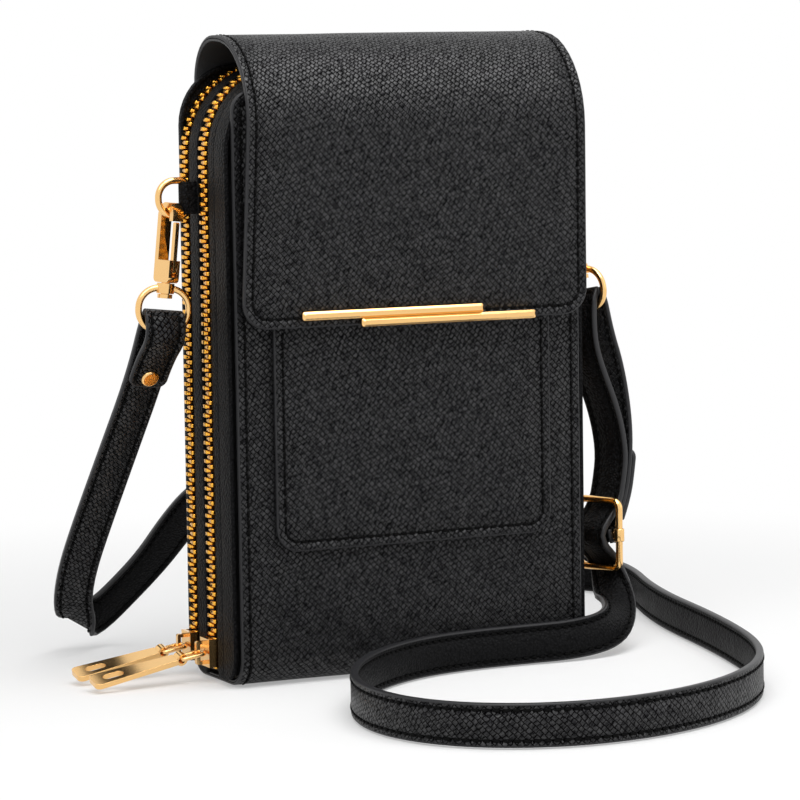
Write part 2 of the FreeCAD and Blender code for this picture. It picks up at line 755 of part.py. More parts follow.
def make_pull(side, line):
    """A wire link through the slider's bridge and a flat tab that turns on the link."""
    droop = Rotation(Y_AXIS, -size.pull_droop.value)
    start = Vector(-pull_axis.value, line.value, pull_level.value)
    half = size.link_width / 2
    bend = size.link_corner_radius
    link = new_body(f"{side}_pull_link")
    corners = [
        (ZERO, ZERO),
        (ZERO, half, bend),
        (-size.link_length, half, bend),
        (-size.link_length, -half, bend),
        (ZERO, -half, bend),
    ]
    wire_loop(link, "XY", corners, "XZ", ZERO, ZERO, size.link_wire)
    link.Placement = Placement(start, droop)

    tab = new_body(f"{side}_pull_tab")
    outline = new_sketch(tab, "XY", "outline")
    neck = size.pull_neck_width / 2
    wide = size.pull_width / 2
    shoulder = -size.pull_neck_length
    draw_outline(
        outline,
        [
            (ZERO, -neck),
            (ZERO, neck),
            (shoulder, neck),
            (shoulder, wide, size.pull_shoulder_radius),
            (-size.pull_length, wide, size.pull_tip_radius),
            (-size.pull_length, -wide, size.pull_tip_radius),
            (shoulder, -wide, size.pull_shoulder_radius),
            (shoulder, -neck),
        ],
    )
    add_pad(tab, outline, size.pull_thickness, both_sides=True)
    hole = new_sketch(tab, "XY", "hole")
    hole_end = size.pull_slot_inset - size.pull_length
    slot_half_width = size.pull_slot_width / 2
    rounding = size.pull_slot_radius
    draw_outline(
        hole,
        box_corners(
            hole_end,
            -slot_half_width,
            hole_end + size.pull_slot_length,
            slot_half_width,
            rounding,
            rounding,
            rounding,
            rounding,
        ),
    )
    add_pocket(tab, hole, size.pull_thickness + size.cut_overrun, both_sides=True)
    bore_radius = size.link_wire / 2 + size.pivot_clearance
    knuckle = new_sketch(tab, "XZ", "knuckle")
    draw_circle(knuckle, ZERO, ZERO, bore_radius + size.pull_knuckle_wall)
    add_pad(tab, knuckle, size.pull_neck_width, both_sides=True)
    bore = new_sketch(tab, "XZ", "bore")
    draw_circle(bore, ZERO, ZERO, bore_radius)
    add_pocket(tab, bore, size.pull_neck_width + size.cut_overrun, both_sides=True)
    tab.Placement = Placement(start + droop.multVec(Vector(-size.link_length.value, 0, 0)), droop)


def make_ring_tab(side, outwards):
    """A folded leather tab, sewn between the zips, with a bore for the bar of the D-ring."""
    bore_radius = size.d_ring_wire / 2 + size.pivot_clearance
    half = bore_radius + size.ring_tab_wall
    rounding = size.d_ring_wire / 2 + size.ring_tab_wall
    body = padded(
        f"{side}_ring_tab",
        "XY",
        box_corners(-size.ring_tab_reach, -half, half, half, None, rounding, rounding),
        size.ring_tab_height,
        both_sides=True,
    )
    bore = new_sketch(body, "XY", "bore")
    draw_circle(bore, ZERO, ZERO, bore_radius)
    add_pocket(body, bore, size.ring_tab_height + size.cut_overrun, both_sides=True)
    across = outwards * (gusset_half + size.ring_tab_reach).value
    eye = Vector(across, strip_middle.value, size.d_ring_level.value)
    body.Placement = Placement(eye, Rotation(Z_AXIS, 0 if outwards > 0 else HALF_TURN))
    return eye


def make_d_ring(side, eye, turn):
    """A D of round wire whose straight bar turns in the leather tab."""
    half = size.d_ring_height / 2
    body = new_body(f"{side}_d_ring")
    corners = [
        (ZERO, ZERO),
        (ZERO, half, size.d_ring_bar_radius),
        (size.d_ring_reach, half, size.d_ring_bow_radius),
        (size.d_ring_reach, -half, size.d_ring_bow_radius),
        (ZERO, -half, size.d_ring_bar_radius),
    ]
    wire_loop(body, "XZ", corners, "XY", ZERO, ZERO, size.d_ring_wire)
    body.Placement = Placement(eye, Rotation(Z_AXIS, turn.value))
    seat = Vector(size.hook_seat.value, 0, -half.value)
    return body.Placement.multVec(seat)


# Levels of a snap hook, from the middle of the D-ring's wire that it hangs on
hook_half = size.hook_width / 2
hook_inside = size.d_ring_wire / 2 + size.hook_play
hook_top = hook_inside + size.hook_crown
hook_bottom = hook_top - size.hook_length
foot_top = hook_bottom + size.hook_foot
nose_level = hook_top - size.hook_nose
pin_across = -hook_half + size.gate_pin_inset
pin_up = hook_bottom + size.gate_pin_level
lug_top = hook_bottom - size.post_play
lug_bottom = lug_top - size.lug_height
ring_top = lug_top - size.lug_height / 2
ring_bottom = ring_top - size.swivel_height


def make_hook(side, hang):
    """The open hook, with a slot and a pin hole for its gate and a bore for its swivel post."""
    eye_half = hook_half - size.hook_bar
    body = padded(
        f"{side}_hook",
        "XZ",
        [
            (-hook_half, hook_bottom, size.hook_foot_radius),
            (hook_half, hook_bottom, size.hook_foot_radius),
            (hook_half, hook_top, size.hook_crown_radius),
            (-hook_half, hook_top, size.hook_crown_radius),
            (-hook_half, nose_level),
            (-eye_half, nose_level),
            (-eye_half, hook_inside, size.hook_eye_radius),
            (eye_half, hook_inside, size.hook_eye_radius),
            (eye_half, foot_top),
            (-hook_half, foot_top),
        ],
        size.hook_thickness,
        both_sides=True,
    )
    slot = new_sketch(body, "XZ", "slot")
    draw_outline(
        slot,
        box_corners(
            -hook_half - size.cut_overrun,
            hook_bottom + size.gate_slot_floor,
            size.gate_slot_depth - hook_half,
            foot_top + size.cut_overrun,
        ),
    )
    add_pocket(body, slot, size.gate_slot_width, both_sides=True)
    pin_hole = new_sketch(body, "XZ", "pin_hole")
    draw_circle(pin_hole, pin_across, pin_up, size.gate_pin_radius + size.fixed_clearance)
    add_pocket(body, pin_hole, size.hook_thickness + size.cut_overrun, both_sides=True)
    bore = lifted_sketch(body, "XY", "bore", hook_bottom)
    draw_circle(bore, ZERO, ZERO, size.post_radius + size.fixed_clearance)
    add_pocket(body, bore, size.post_grip, turned=True)
    body.Placement = hang


def make_gate(side, hang):
    """The sprung gate that closes the hook, its pin and the coil round the pin."""
    left = -hook_half
    root_low = pin_up - size.gate_pin_inset
    root_top = root_low + size.gate_root_height
    gate = padded(
        f"{side}_hook_gate",
        "XZ",
        [
            (left, root_low, size.gate_root_radius),
            (left + size.gate_root, root_low, size.gate_root_radius),
            (left + size.gate_root, root_top),
            (left + size.gate_bar, root_top),
            (left + size.gate_bar, nose_level - size.gate_gap, size.gate_tip_radius),
            (left, nose_level - size.gate_gap, size.gate_tip_radius),
        ],
        size.gate_thickness,
        both_sides=True,
    )
    bore = new_sketch(gate, "XZ", "bore")
    draw_circle(bore, pin_across, pin_up, size.gate_pin_radius + size.pivot_clearance)
    add_pocket(gate, bore, size.gate_thickness + size.cut_overrun, both_sides=True)
    gate.Placement = hang

    pin = new_body(f"{side}_gate_pin")
    section = new_sketch(pin, "XZ", "section")
    draw_circle(section, pin_across, pin_up, size.gate_pin_radius)
    add_pad(pin, section, size.hook_thickness, both_sides=True)
    pin.Placement = hang

    spring = new_body(f"{side}_gate_spring")
    room = size.gate_slot_width / 2 - size.gate_thickness / 2 - size.gate_spring_width
    coil = lifted_sketch(spring, "XZ", "coil", size.gate_thickness / 2 + room / 2)
    draw_circle(coil, pin_across, pin_up, size.gate_spring_radius)
    draw_circle(coil, pin_across, pin_up, size.gate_pin_radius + size.pivot_clearance)
    add_pad(spring, coil, size.gate_spring_width)
    spring.Placement = hang


def make_post(side, hang):
    """The headed post on which the hook swivels in the lug of its ring."""
    head_top = lug_bottom - size.post_play
    body = new_body(f"{side}_swivel_post")
    profile = new_sketch(body, "XZ", "profile")
    draw_outline(
        profile,
        [
            (ZERO, head_top - size.post_head),
            (size.post_head_radius, head_top - size.post_head),
            (size.post_head_radius, head_top),
            (size.post_radius, head_top),
            (size.post_radius, hook_bottom + size.post_grip),
            (ZERO, hook_bottom + size.post_grip),
        ],
    )
    add_turned(body, profile)
    body.Placement = hang


def make_swivel_ring(side, hang):
    """The wire ring for the strap, with a drilled lug at its top."""
    half = size.swivel_width / 2
    bend = size.swivel_corner_radius
    body = new_body(f"{side}_swivel_ring")
    corners = [
        (ZERO, ring_bottom),
        (half, ring_bottom, bend),
        (half, ring_top, bend),
        (-half, ring_top, bend),
        (-half, ring_bottom, bend),
    ]
    wire_loop(body, "XZ", corners, "YZ", ZERO, ring_bottom, size.swivel_wire)
    lug = lifted_sketch(body, "XY", "lug", lug_bottom)
    draw_circle(lug, ZERO, ZERO, size.lug_radius)
    add_pad(body, lug, size.lug_height)
    bore = lifted_sketch(body, "XY", "bore", lug_bottom)
    draw_circle(bore, ZERO, ZERO, size.post_radius + size.pivot_clearance)
    add_pocket(body, bore, size.lug_height, turned=True)
    body.Placement = hang


def hanging(point, lean, lean_heading, plane_heading):
    """The place of a piece that hangs from a point, leans one way and faces another."""
    way = math.radians(lean_heading.value)
    tilt = Rotation(Vector(math.sin(way), -math.cos(way), 0), lean.value)
    return Placement(point, tilt.multiply(Rotation(Z_AXIS, plane_heading.value)))


def make_clip(side, outwards, turn, lean, lean_heading, hook_heading, ring_heading):
    """Leather tab, D-ring, snap hook and swivel ring of one side."""
    eye = make_ring_tab(side, outwards)
    point = make_d_ring(side, eye, turn)
    hook_place = hanging(point, lean, lean_heading, hook_heading)
    ring_place = hanging(point, lean, lean_heading, ring_heading)
    make_hook(side, hook_place)
    make_gate(side, hook_place)
    make_post(side, hook_place)
    make_swivel_ring(side, ring_place)


flap_face = front_face - size.flap_stand_off
flap_start = size.back_height + size.hinge_gap


def flap_layer(label, outside, thickness, start):
    """One layer of the flap, from the fold at the back over the ridge to the lower edge in front."""
    inside = outside + thickness
    body = padded(
        label,
        "YZ",
        [
            (flap_face + outside, size.flap_bottom),
            (flap_face + outside, size.flap_top - outside, size.flap_front_radius - outside),
            (back_face - outside, size.flap_top - outside, size.flap_back_radius - outside),
            (back_face - outside, start),
            (back_face - inside, start),
            (back_face - inside, size.flap_top - inside, size.flap_back_radius - inside),
            (flap_face + inside, size.flap_top - inside, size.flap_front_radius - inside),
            (flap_face + inside, size.flap_bottom),
        ],
        size.bag_width,
        both_sides=True,
    )
    low = size.flap_bottom.value

    def lower_corner(edge, middle):
        return abs(middle.z - low) < Part.Precision.confusion() and along(edge, Y_AXIS)

    dress_edges(body, "Fillet", lower_corner, size.flap_corner_radius)
    return body


def make_disc(label, radius, thickness, back):
    """A flat disc on the magnet's axis whose back lies at a depth."""
    body = new_body(label)
    section = new_sketch(body, "XZ", "section")
    draw_circle(section, ZERO, size.magnet_level, radius)
    add_pad(body, section, thickness)
    place(body, y=back)


def make_flap():
    """Skin and lining of the flap, the magnetic closure and the two metal bars."""
    flap_layer("flap_outer", ZERO, size.flap_skin, flap_start)
    lining_start = flap_start + size.lining_setback
    lining = flap_layer("flap_lining", size.flap_skin, size.flap_lining_thickness, lining_start)
    recess = lifted_sketch(lining, "XZ", "recess", -flap_face)
    draw_circle(recess, ZERO, size.magnet_level, size.magnet_radius + size.seam_gap)
    add_pocket(lining, recess, size.flap_skin + size.flap_lining_thickness + size.cut_overrun)
    lining_inside = flap_face + size.flap_skin + size.flap_lining_thickness
    make_disc("flap_magnet", size.magnet_radius, size.flap_lining_thickness, lining_inside)
    pocket_face = front_face - size.pocket_slot - size.pocket_skin
    make_disc("panel_magnet", size.magnet_radius, size.magnet_thickness, pocket_face)

    def on_bar_front(edge, middle):
        return abs(middle.y + size.bar_depth.value) < Part.Precision.confusion()

    lower_start = size.flap_bottom - size.lower_bar_drop
    upper_start = lower_start + size.bar_height + size.seam_gap
    for label, left, length, low in (
        ("upper_bar", size.upper_bar_start, size.upper_bar_length, upper_start),
        ("lower_bar", size.lower_bar_start, size.lower_bar_length, lower_start),
    ):
        corners = box_corners(left, low, left + length, low + size.bar_height)
        body = padded(label, "XZ", corners, size.bar_depth)
        dress_edges(body, "Chamfer", on_bar_front, size.bar_bevel)
        place(body, y=flap_face)


# Routes of the strap and of its two ends: a point, the way its width points and, at a fold, its radius.
# The strap starts over the left ring, stands on its edge on the floor and ends over the right ring.
FOLD = size.strap_fold_radius.value
TAIL_FOLD = size.tail_fold_radius.value
STRAP_ROUTE = [
    ((-68.3, 6.1, 109.1), (0.98, -0.17, -0.1)),
    ((-67.9, 8.5, 109.1), (0.98, -0.17, -0.1), FOLD),
    ((-69.7, 18.2, 89.8), (0.97, 0.05, -0.15)),
    ((-73.9, 33.0, 64.6), (0.97, -0.05, -0.1)),
    ((-77.3, 46.4, 42.6), (0.95, -0.2, 0.0)),
    ((-79.2, 55.6, 27.4), (0.93, -0.15, -0.1)),
    ((-78.4, 63.0, 15.5), (0.88, 0.05, -0.3)),
    ((-74.0, 69.5, 9.4), (0.83, 0.1, -0.45)),
    ((-66.6, 72.8, 9.8), (0.8, 0.2, -0.5)),
    ((-58.8, 71.0, 17.0), (0.77, 0.25, -0.55)),
    ((-50.6, 65.2, 27.4), (0.74, 0.27, -0.6)),
    ((-46.0, 56.0, 38.6), (0.66, 0.27, -0.68)),
    ((-42.0, 44.4, 48.4), (0.52, 0.2, -0.8)),
    ((-34.0, 33.0, 56.0), (0.3, 0.1, -0.93)),
    ((-20.0, 23.6, 59.4), (0.1, 0.0, -0.99)),
    ((-3.0, 22.6, 57.2), (-0.05, 0.0, -0.99)),
    ((13.0, 29.6, 49.4), (-0.2, 0.0, -0.97)),
    ((26.0, 40.8, 36.0), (-0.3, 0.1, -0.93)),
    ((38.0, 56.6, 20.6), (-0.25, 0.1, -0.95)),
    ((52.0, 76.0, 9.4), (-0.1, 0.0, -0.99)),
    ((69.0, 94.4, 6.3), (0.0, 0.0, -1.0)),
    ((88.0, 105.0, 6.2), (0.0, 0.0, -1.0)),
    ((106.0, 104.6, 6.2), (0.0, 0.0, -1.0)),
    ((119.0, 95.4, 6.2), (0.0, 0.0, -1.0)),
    ((122.6, 79.0, 6.2), (0.0, 0.0, -1.0)),
    ((118.0, 58.4, 6.2), (0.0, 0.0, -1.0)),
    ((109.0, 34.0, 6.2), (0.0, 0.0, -1.0)),
    ((101.6, 6.6, 6.2), (0.0, 0.0, -1.0)),
    ((96.4, -22.6, 6.2), (0.0, 0.0, -1.0)),
    ((90.0, -51.0, 6.2), (0.0, 0.0, -1.0)),
    ((82.0, -78.0, 6.2), (0.0, 0.0, -1.0)),
    ((70.6, -101.0, 6.2), (0.0, 0.0, -1.0)),
    ((55.0, -119.6, 6.2), (0.0, 0.0, -1.0)),
    ((35.0, -133.6, 6.2), (0.0, 0.0, -1.0)),
    ((12.6, -141.4, 6.2), (0.0, 0.0, -1.0)),
    ((-10.6, -142.0, 6.2), (0.0, 0.0, -1.0)),
    ((-30.4, -134.4, 6.2), (0.0, 0.0, -1.0)),
    ((-43.8, -121.0, 6.2), (0.0, 0.0, -1.0)),
    ((-50.0, -103.0, 6.2), (0.0, 0.0, -1.0)),
    ((-48.6, -83.0, 6.2), (0.0, 0.0, -1.0)),
    ((-40.0, -61.6, 6.2), (0.0, 0.0, -1.0)),
    ((-24.4, -41.8, 6.2), (0.0, 0.0, -1.0)),
    ((-4.6, -28.2, 6.2), (0.0, 0.0, -1.0)),
    ((15.0, -23.4, 6.2), (0.0, 0.0, -1.0)),
    ((34.0, -23.0, 6.2), (0.0, 0.0, -1.0)),
    ((52.0, -24.2, 6.4), (0.0, -0.05, -1.0)),
    ((66.4, -20.6, 8.0), (0.1, -0.35, -0.93)),
    ((74.0, -11.0, 12.4), (0.3, -0.75, -0.6)),
    ((76.2, -0.4, 18.4), (0.4, -0.9, -0.15)),
    ((76.3, 2.1, 25.5), (0.407, -0.914, 0.0)),
    ((68.2, -1.6, 32.3), (0.407, -0.914, 0.0)),
    ((68.2, -1.6, 36.3), (0.407, -0.914, 0.0)),
    ((76.3, 2.1, 43.1), (0.407, -0.914, 0.0)),
    ((78.3, 3.0, 51.0), (0.407, -0.914, 0.0)),
    ((79.4, 3.4, 58.0), (0.407, -0.914, 0.0)),
    ((78.0, 2.8, 66.5), (0.407, -0.914, 0.0)),
    ((74.7, 1.3, 75.5), (0.407, -0.914, 0.0)),
    ((69.4, -1.0, 85.5), (0.407, -0.914, 0.0)),
    ((65.2, -2.9, 95.0), (0.404, -0.907, 0.1)),
    ((66.1, -1.5, 109.8), (0.4, -0.9, 0.18), FOLD),
    ((68.3, -0.5, 109.8), (0.4, -0.9, 0.18)),
]
PATCH_ROUTE = [
    ((-68.3, 6.1, 109.1), (0.98, -0.17, -0.1)),
    ((-68.7, 3.7, 109.1), (0.98, -0.17, -0.1), FOLD),
    ((-68.6, 3.2, 101.5), (0.98, -0.1, -0.1)),
    ((-69.0, 12.6, 94.6), (0.97, 0.0, -0.1)),
    ((-69.9, 17.6, 86.6), (0.97, 0.05, -0.15)),
]
TAIL_ROUTE = [
    ((68.3, -0.5, 109.8), (0.4, -0.9, 0.18)),
    ((70.5, 0.5, 109.8), (0.4, -0.9, 0.18), FOLD),
    ((73.4, 0.8, 97.0), (0.404, -0.907, 0.1)),
    ((77.5, 2.6, 88.0), (0.407, -0.914, 0.0)),
    ((80.6, 4.0, 76.0), (0.407, -0.914, 0.0)),
    ((82.0, 4.6, 64.0), (0.407, -0.914, 0.0)),
    ((81.0, 4.2, 53.0), (0.407, -0.914, 0.0)),
    ((78.9, 3.2, 45.0), (0.407, -0.914, 0.0)),
    ((75.2, 1.6, 38.0), (0.407, -0.914, 0.0)),
    ((75.2, 1.57, 32.25), (0.407, -0.914, 0.0), TAIL_FOLD),
    ((71.45, -0.1, 32.25), (0.407, -0.914, 0.0), TAIL_FOLD),
    ((71.45, -0.1, 36.2), (0.407, -0.914, 0.0)),
]
TAIL_TIP_ROUTE = [
    ((77.3, 2.5, 38.4), (0.407, -0.914, 0.0)),
    ((80.6, 4.0, 44.6), (0.407, -0.914, 0.0)),
    ((82.6, 4.9, 52.8), (0.407, -0.914, 0.0)),
    ((83.6, 5.3, 60.0), (0.407, -0.914, 0.0)),
]
TANGENT_SHARE = 0.45
SECTION_TURN_DEGREES = 18.0
RIVET_DOME_SHARE = 0.8
RIVET_PLACE_SHARE = 0.62


class BandRun:
    """The centre line of a flat band: straight runs joined by tangent arcs, with its width's direction."""

    def __init__(self, route):
        self.points = [Vector(*stop[0]) for stop in route]
        self.ways = [Vector(*stop[1]).normalize() for stop in route]
        self.radii = [stop[2] if len(stop) > 2 else None for stop in route]
        self.places = []
        self.length = 0.0
        self.tightest = math.inf
        self.follow()

    def follow(self):
        """Lists the places where a section stands: point, tangent and the way of the width."""
        last = len(self.points) - 1
        first_run = (self.points[1] - self.points[0]).normalize()
        self.add(self.points[0], first_run, self.ways[0])
        for index in range(1, last):
            self.add_corner(index)
        end_run = (self.points[last] - self.points[last - 1]).normalize()
        self.add(self.points[last], end_run, self.ways[last])

    def add(self, point, tangent, way):
        """Adds a section unless it stands on the one before."""
        if self.places:
            step = (point - self.places[-1][0]).Length
            if step < Part.Precision.confusion():
                return
            self.length += step
        self.places.append((point, tangent, (way - tangent * way.dot(tangent)).normalize()))

    def add_corner(self, index):
        """Adds the sections of the arc at one point of the route."""
        point = self.points[index]
        arriving = point - self.points[index - 1]
        leaving = self.points[index + 1] - point
        turn = arriving.getAngle(leaving)
        reach = TANGENT_SHARE * min(arriving.Length, leaving.Length)
        if self.radii[index] is not None:
            reach = self.radii[index] * math.tan(turn / 2)
        radius = reach / math.tan(turn / 2)
        arriving.normalize()
        leaving.normalize()
        start = point - arriving * reach
        inwards = (leaving - arriving * leaving.dot(arriving)).normalize()
        steps = max(2, math.ceil(math.degrees(turn) / SECTION_TURN_DEGREES))
        for step in range(steps + 1):
            angle = turn * step / steps
            place = start + arriving * (radius * math.sin(angle))
            place += inwards * (radius * (1 - math.cos(angle)))
            tangent = arriving * math.cos(angle) + inwards * math.sin(angle)
            self.add(place, tangent, self.way_near(index, step / steps, reach))
        self.tightest = min(self.tightest, radius)

    def way_near(self, index, share, reach):
        """The width's direction on an arc, eased from its neighbours' by the arc's share of their runs."""
        before = (self.points[index] - self.points[index - 1]).Length
        after = (self.points[index + 1] - self.points[index]).Length
        way = Vector(self.ways[index])
        if share < 1 / 2:
            near = reach / before * (1 - 2 * share)
            return way * (1 - near) + self.ways[index - 1] * near
        near = reach / after * (2 * share - 1)
        return way * (1 - near) + self.ways[index + 1] * near


def band_solid(route, width, thickness):
    """A flat band of leather lofted through sections along its route."""
    run = BandRun(route)
    sections = []
    for point, tangent, way in run.places:
        across = way * (width.value / 2)
        through = tangent.cross(way) * (thickness.value / 2)
        corners = [across + through, through - across, -across - through, across - through]
        sections.append(Part.makePolygon([point + corner for corner in corners + corners[:1]]))
    solid = Part.makeLoft(sections, True, True)
    share = solid.Volume / (run.length * width.value * thickness.value)
    print(f"band length {run.length:.1f} mm, tightest bend {run.tightest:.1f} mm, volume share {share:.3f}")
    return solid


def make_strap():
    """The strap, its folded and riveted left end and its thinned right end with a sewn tip."""
    add_shape("strap", band_solid(STRAP_ROUTE, size.strap_width, size.strap_thickness))
    add_shape("strap_end_patch", band_solid(PATCH_ROUTE, size.strap_width, size.strap_end_thickness))
    tail = band_solid(TAIL_ROUTE, size.strap_width, size.strap_end_thickness)
    tip = band_solid(TAIL_TIP_ROUTE, size.strap_width, size.strap_end_thickness)
    add_shape("strap_tail", Part.Compound([tail, tip]))


def make_rivet():
    """A rivet through both layers of the left strap end, with a domed cap on each side."""
    lower, upper = Vector(*PATCH_ROUTE[-1][0]), Vector(*PATCH_ROUTE[-2][0])
    tangent = (lower - upper).normalize()
    way = Vector(*PATCH_ROUTE[-1][1])
    way = (way - tangent * way.dot(tangent)).normalize()
    forwards = way.cross(tangent)
    if forwards.y > 0:
        forwards = -forwards
    body = new_body("strap_rivet")
    profile = new_sketch(body, "XZ", "profile")
    cap = size.rivet_cap
    front_face_level = size.strap_end_thickness / 2
    back_face_level = -front_face_level - size.rivet_layer_room - size.strap_thickness
    draw_outline(
        profile,
        [
            (ZERO, back_face_level - cap),
            (size.rivet_cap_radius, back_face_level - cap, size.rivet_cap * RIVET_DOME_SHARE),
            (size.rivet_cap_radius, back_face_level),
            (size.rivet_shank_radius, back_face_level),
            (size.rivet_shank_radius, front_face_level),
            (size.rivet_cap_radius, front_face_level),
            (size.rivet_cap_radius, front_face_level + cap, size.rivet_cap * RIVET_DOME_SHARE),
            (ZERO, front_face_level + cap),
        ],
    )
    add_turned(body, profile)
    middle = upper + (lower - upper) * RIVET_PLACE_SHARE
    body.Placement = Placement(middle, Rotation(Z_AXIS, forwards))


def make_buckle():
    """The slide buckle: a wire frame and a centre bar whose ends curl round the frame's sides."""
    middle = Vector(size.buckle_across.value, size.buckle_back.value, size.buckle_level.value)
    buckle_place = Placement(middle, Rotation(Z_AXIS, size.right_ring_heading.value))
    half_wide = size.buckle_width / 2
    half_high = size.buckle_height / 2
    bend = size.buckle_corner_radius
    frame = new_body("buckle_frame")
    corners = [
        (ZERO, -half_high),
        (half_wide, -half_high, bend),
        (half_wide, half_high, bend),
        (-half_wide, half_high, bend),
        (-half_wide, -half_high, bend),
    ]
    wire_loop(frame, "XZ", corners, "YZ", ZERO, -half_high, size.buckle_wire)
    frame.Placement = buckle_place

    bar = new_body("buckle_bar")
    bore = size.buckle_wire / 2 + size.fixed_clearance
    core = new_sketch(bar, "YZ", "core")
    draw_circle(core, ZERO, ZERO, size.buckle_wire / 2)
    add_pad(bar, core, size.buckle_width, both_sides=True)
    sleeves = new_sketch(bar, "XY", "sleeves")
    holes = new_sketch(bar, "XY", "holes")
    for side in (half_wide, -half_wide):
        draw_circle(sleeves, side, ZERO, bore + size.buckle_sleeve_wall)
        draw_circle(holes, side, ZERO, bore)
    add_pad(bar, sleeves, size.buckle_sleeve_height, both_sides=True)
    add_pocket(bar, holes, size.buckle_sleeve_height + size.cut_overrun, both_sides=True)
    bar.Placement = buckle_place


def finish():
    """Checks every object and sub-part and writes the sub-parts."""
    doc.recompute()
    for item in doc.Objects:
        if "Invalid" in item.State or "Error" in item.State:
            raise RuntimeError(f"{item.Label} failed: {item.State}")
    os.makedirs("parts", exist_ok=True)
    for part in sub_parts:
        if part.Shape.isNull() or not part.Shape.isValid():
            raise RuntimeError(f"{part.Label} has no valid shape")
    for part in sub_parts:
        part.Shape.exportStep(os.path.join("parts", f"{part.Label}.step"))


make_wrap_panel()
make_gussets()
make_dividers()
make_card_pocket()
make_zip_tapes()
make_zip_teeth()
for zip_side, zip_line in (("front", front_zip_line), ("rear", rear_zip_line)):
    make_slider(f"{zip_side}_zip_slider", zip_line)
    make_pull(zip_side, zip_line)
make_clip(
    "left",
    -1,
    size.left_d_ring_turn,
    size.left_hook_lean,
    size.left_lean_heading,
    size.left_hook_heading,
    size.left_ring_heading,
)
make_clip(
    "right",
    1,
    size.right_d_ring_turn,
    size.right_hook_lean,
    size.right_lean_heading,
    size.right_hook_heading,
    size.right_ring_heading,
)
make_flap()
make_strap()
make_rivet()
make_buckle()
finish()
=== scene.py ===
"""Looks of an upright phone pouch: leather, stitching, zips, strap, metal and a studio stage.

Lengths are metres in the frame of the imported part: +X right seen from the front, +Y back, +Z up.
Every leather piece is cut flat and folded along its course. The panels and the strap are pressed and
sewn before they are folded.
"""

import json
import math
from bisect import bisect_right

import bmesh
import bpy
from bpy.props import FloatProperty, FloatVectorProperty, IntProperty, PointerProperty
from mathutils import Matrix, Vector, noise


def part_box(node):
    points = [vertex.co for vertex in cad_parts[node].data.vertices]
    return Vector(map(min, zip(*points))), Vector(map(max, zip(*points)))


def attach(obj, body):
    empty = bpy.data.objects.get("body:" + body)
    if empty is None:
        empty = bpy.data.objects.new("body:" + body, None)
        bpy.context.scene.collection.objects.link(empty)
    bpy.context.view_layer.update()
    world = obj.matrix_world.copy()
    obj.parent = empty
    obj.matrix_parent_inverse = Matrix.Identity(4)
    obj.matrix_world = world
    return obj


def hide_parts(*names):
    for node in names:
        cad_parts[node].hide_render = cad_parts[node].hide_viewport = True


bl_info = {
    "name": "Phone pouch",
    "version": (1, 0, 0),
    "blender": (4, 5, 0),
    "location": "View3D > Sidebar > Pouch",
    "description": "Builds the leather, zips, strap, metal and stage of an upright phone pouch",
    "category": "Object",
}

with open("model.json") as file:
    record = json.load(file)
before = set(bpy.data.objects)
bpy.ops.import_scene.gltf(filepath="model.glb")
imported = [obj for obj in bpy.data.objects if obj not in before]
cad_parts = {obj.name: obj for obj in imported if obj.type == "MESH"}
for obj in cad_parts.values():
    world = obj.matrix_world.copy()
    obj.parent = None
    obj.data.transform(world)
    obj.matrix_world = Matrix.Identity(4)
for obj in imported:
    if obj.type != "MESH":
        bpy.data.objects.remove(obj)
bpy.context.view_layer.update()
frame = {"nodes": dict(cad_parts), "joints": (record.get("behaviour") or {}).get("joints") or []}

MM = 0.001
X_WAY = Vector((1, 0, 0))
Y_WAY = Vector((0, 1, 0))
Z_WAY = Vector((0, 0, 1))
QUARTER_TURN = math.radians(90)
HALF_TURN = math.radians(180)
SHARP_TURN = math.radians(50)
ARC_STEP = math.radians(9)
# Share of a direction that has to lie along an axis for it to count as along that axis
ALONG_SHARE = 0.99
# A corner of a mesh this near to a cut counts as on it
CUT_REACH = 0.01 * MM
UV_NAME = "cut"

# Material slots of a leather piece
SLOTS = OUTSIDE, THREAD, EDGE, INSIDE = range(4)

# Ways that the width of the strap points: at the left ring, at the right ring, across the buckle,
# and down where the strap stands on edge
LEFT_WAY = (0.98, -0.17, -0.1)
RIGHT_WAY = (0.4, -0.9, 0.18)
BUCKLE_WAY = (0.407, -0.914, 0)
DOWN_WAY = (0, 0, -1)


def stretch(way, *points):
    """Points of a route, all with the same way of the width."""
    return [(point, way) for point in points]


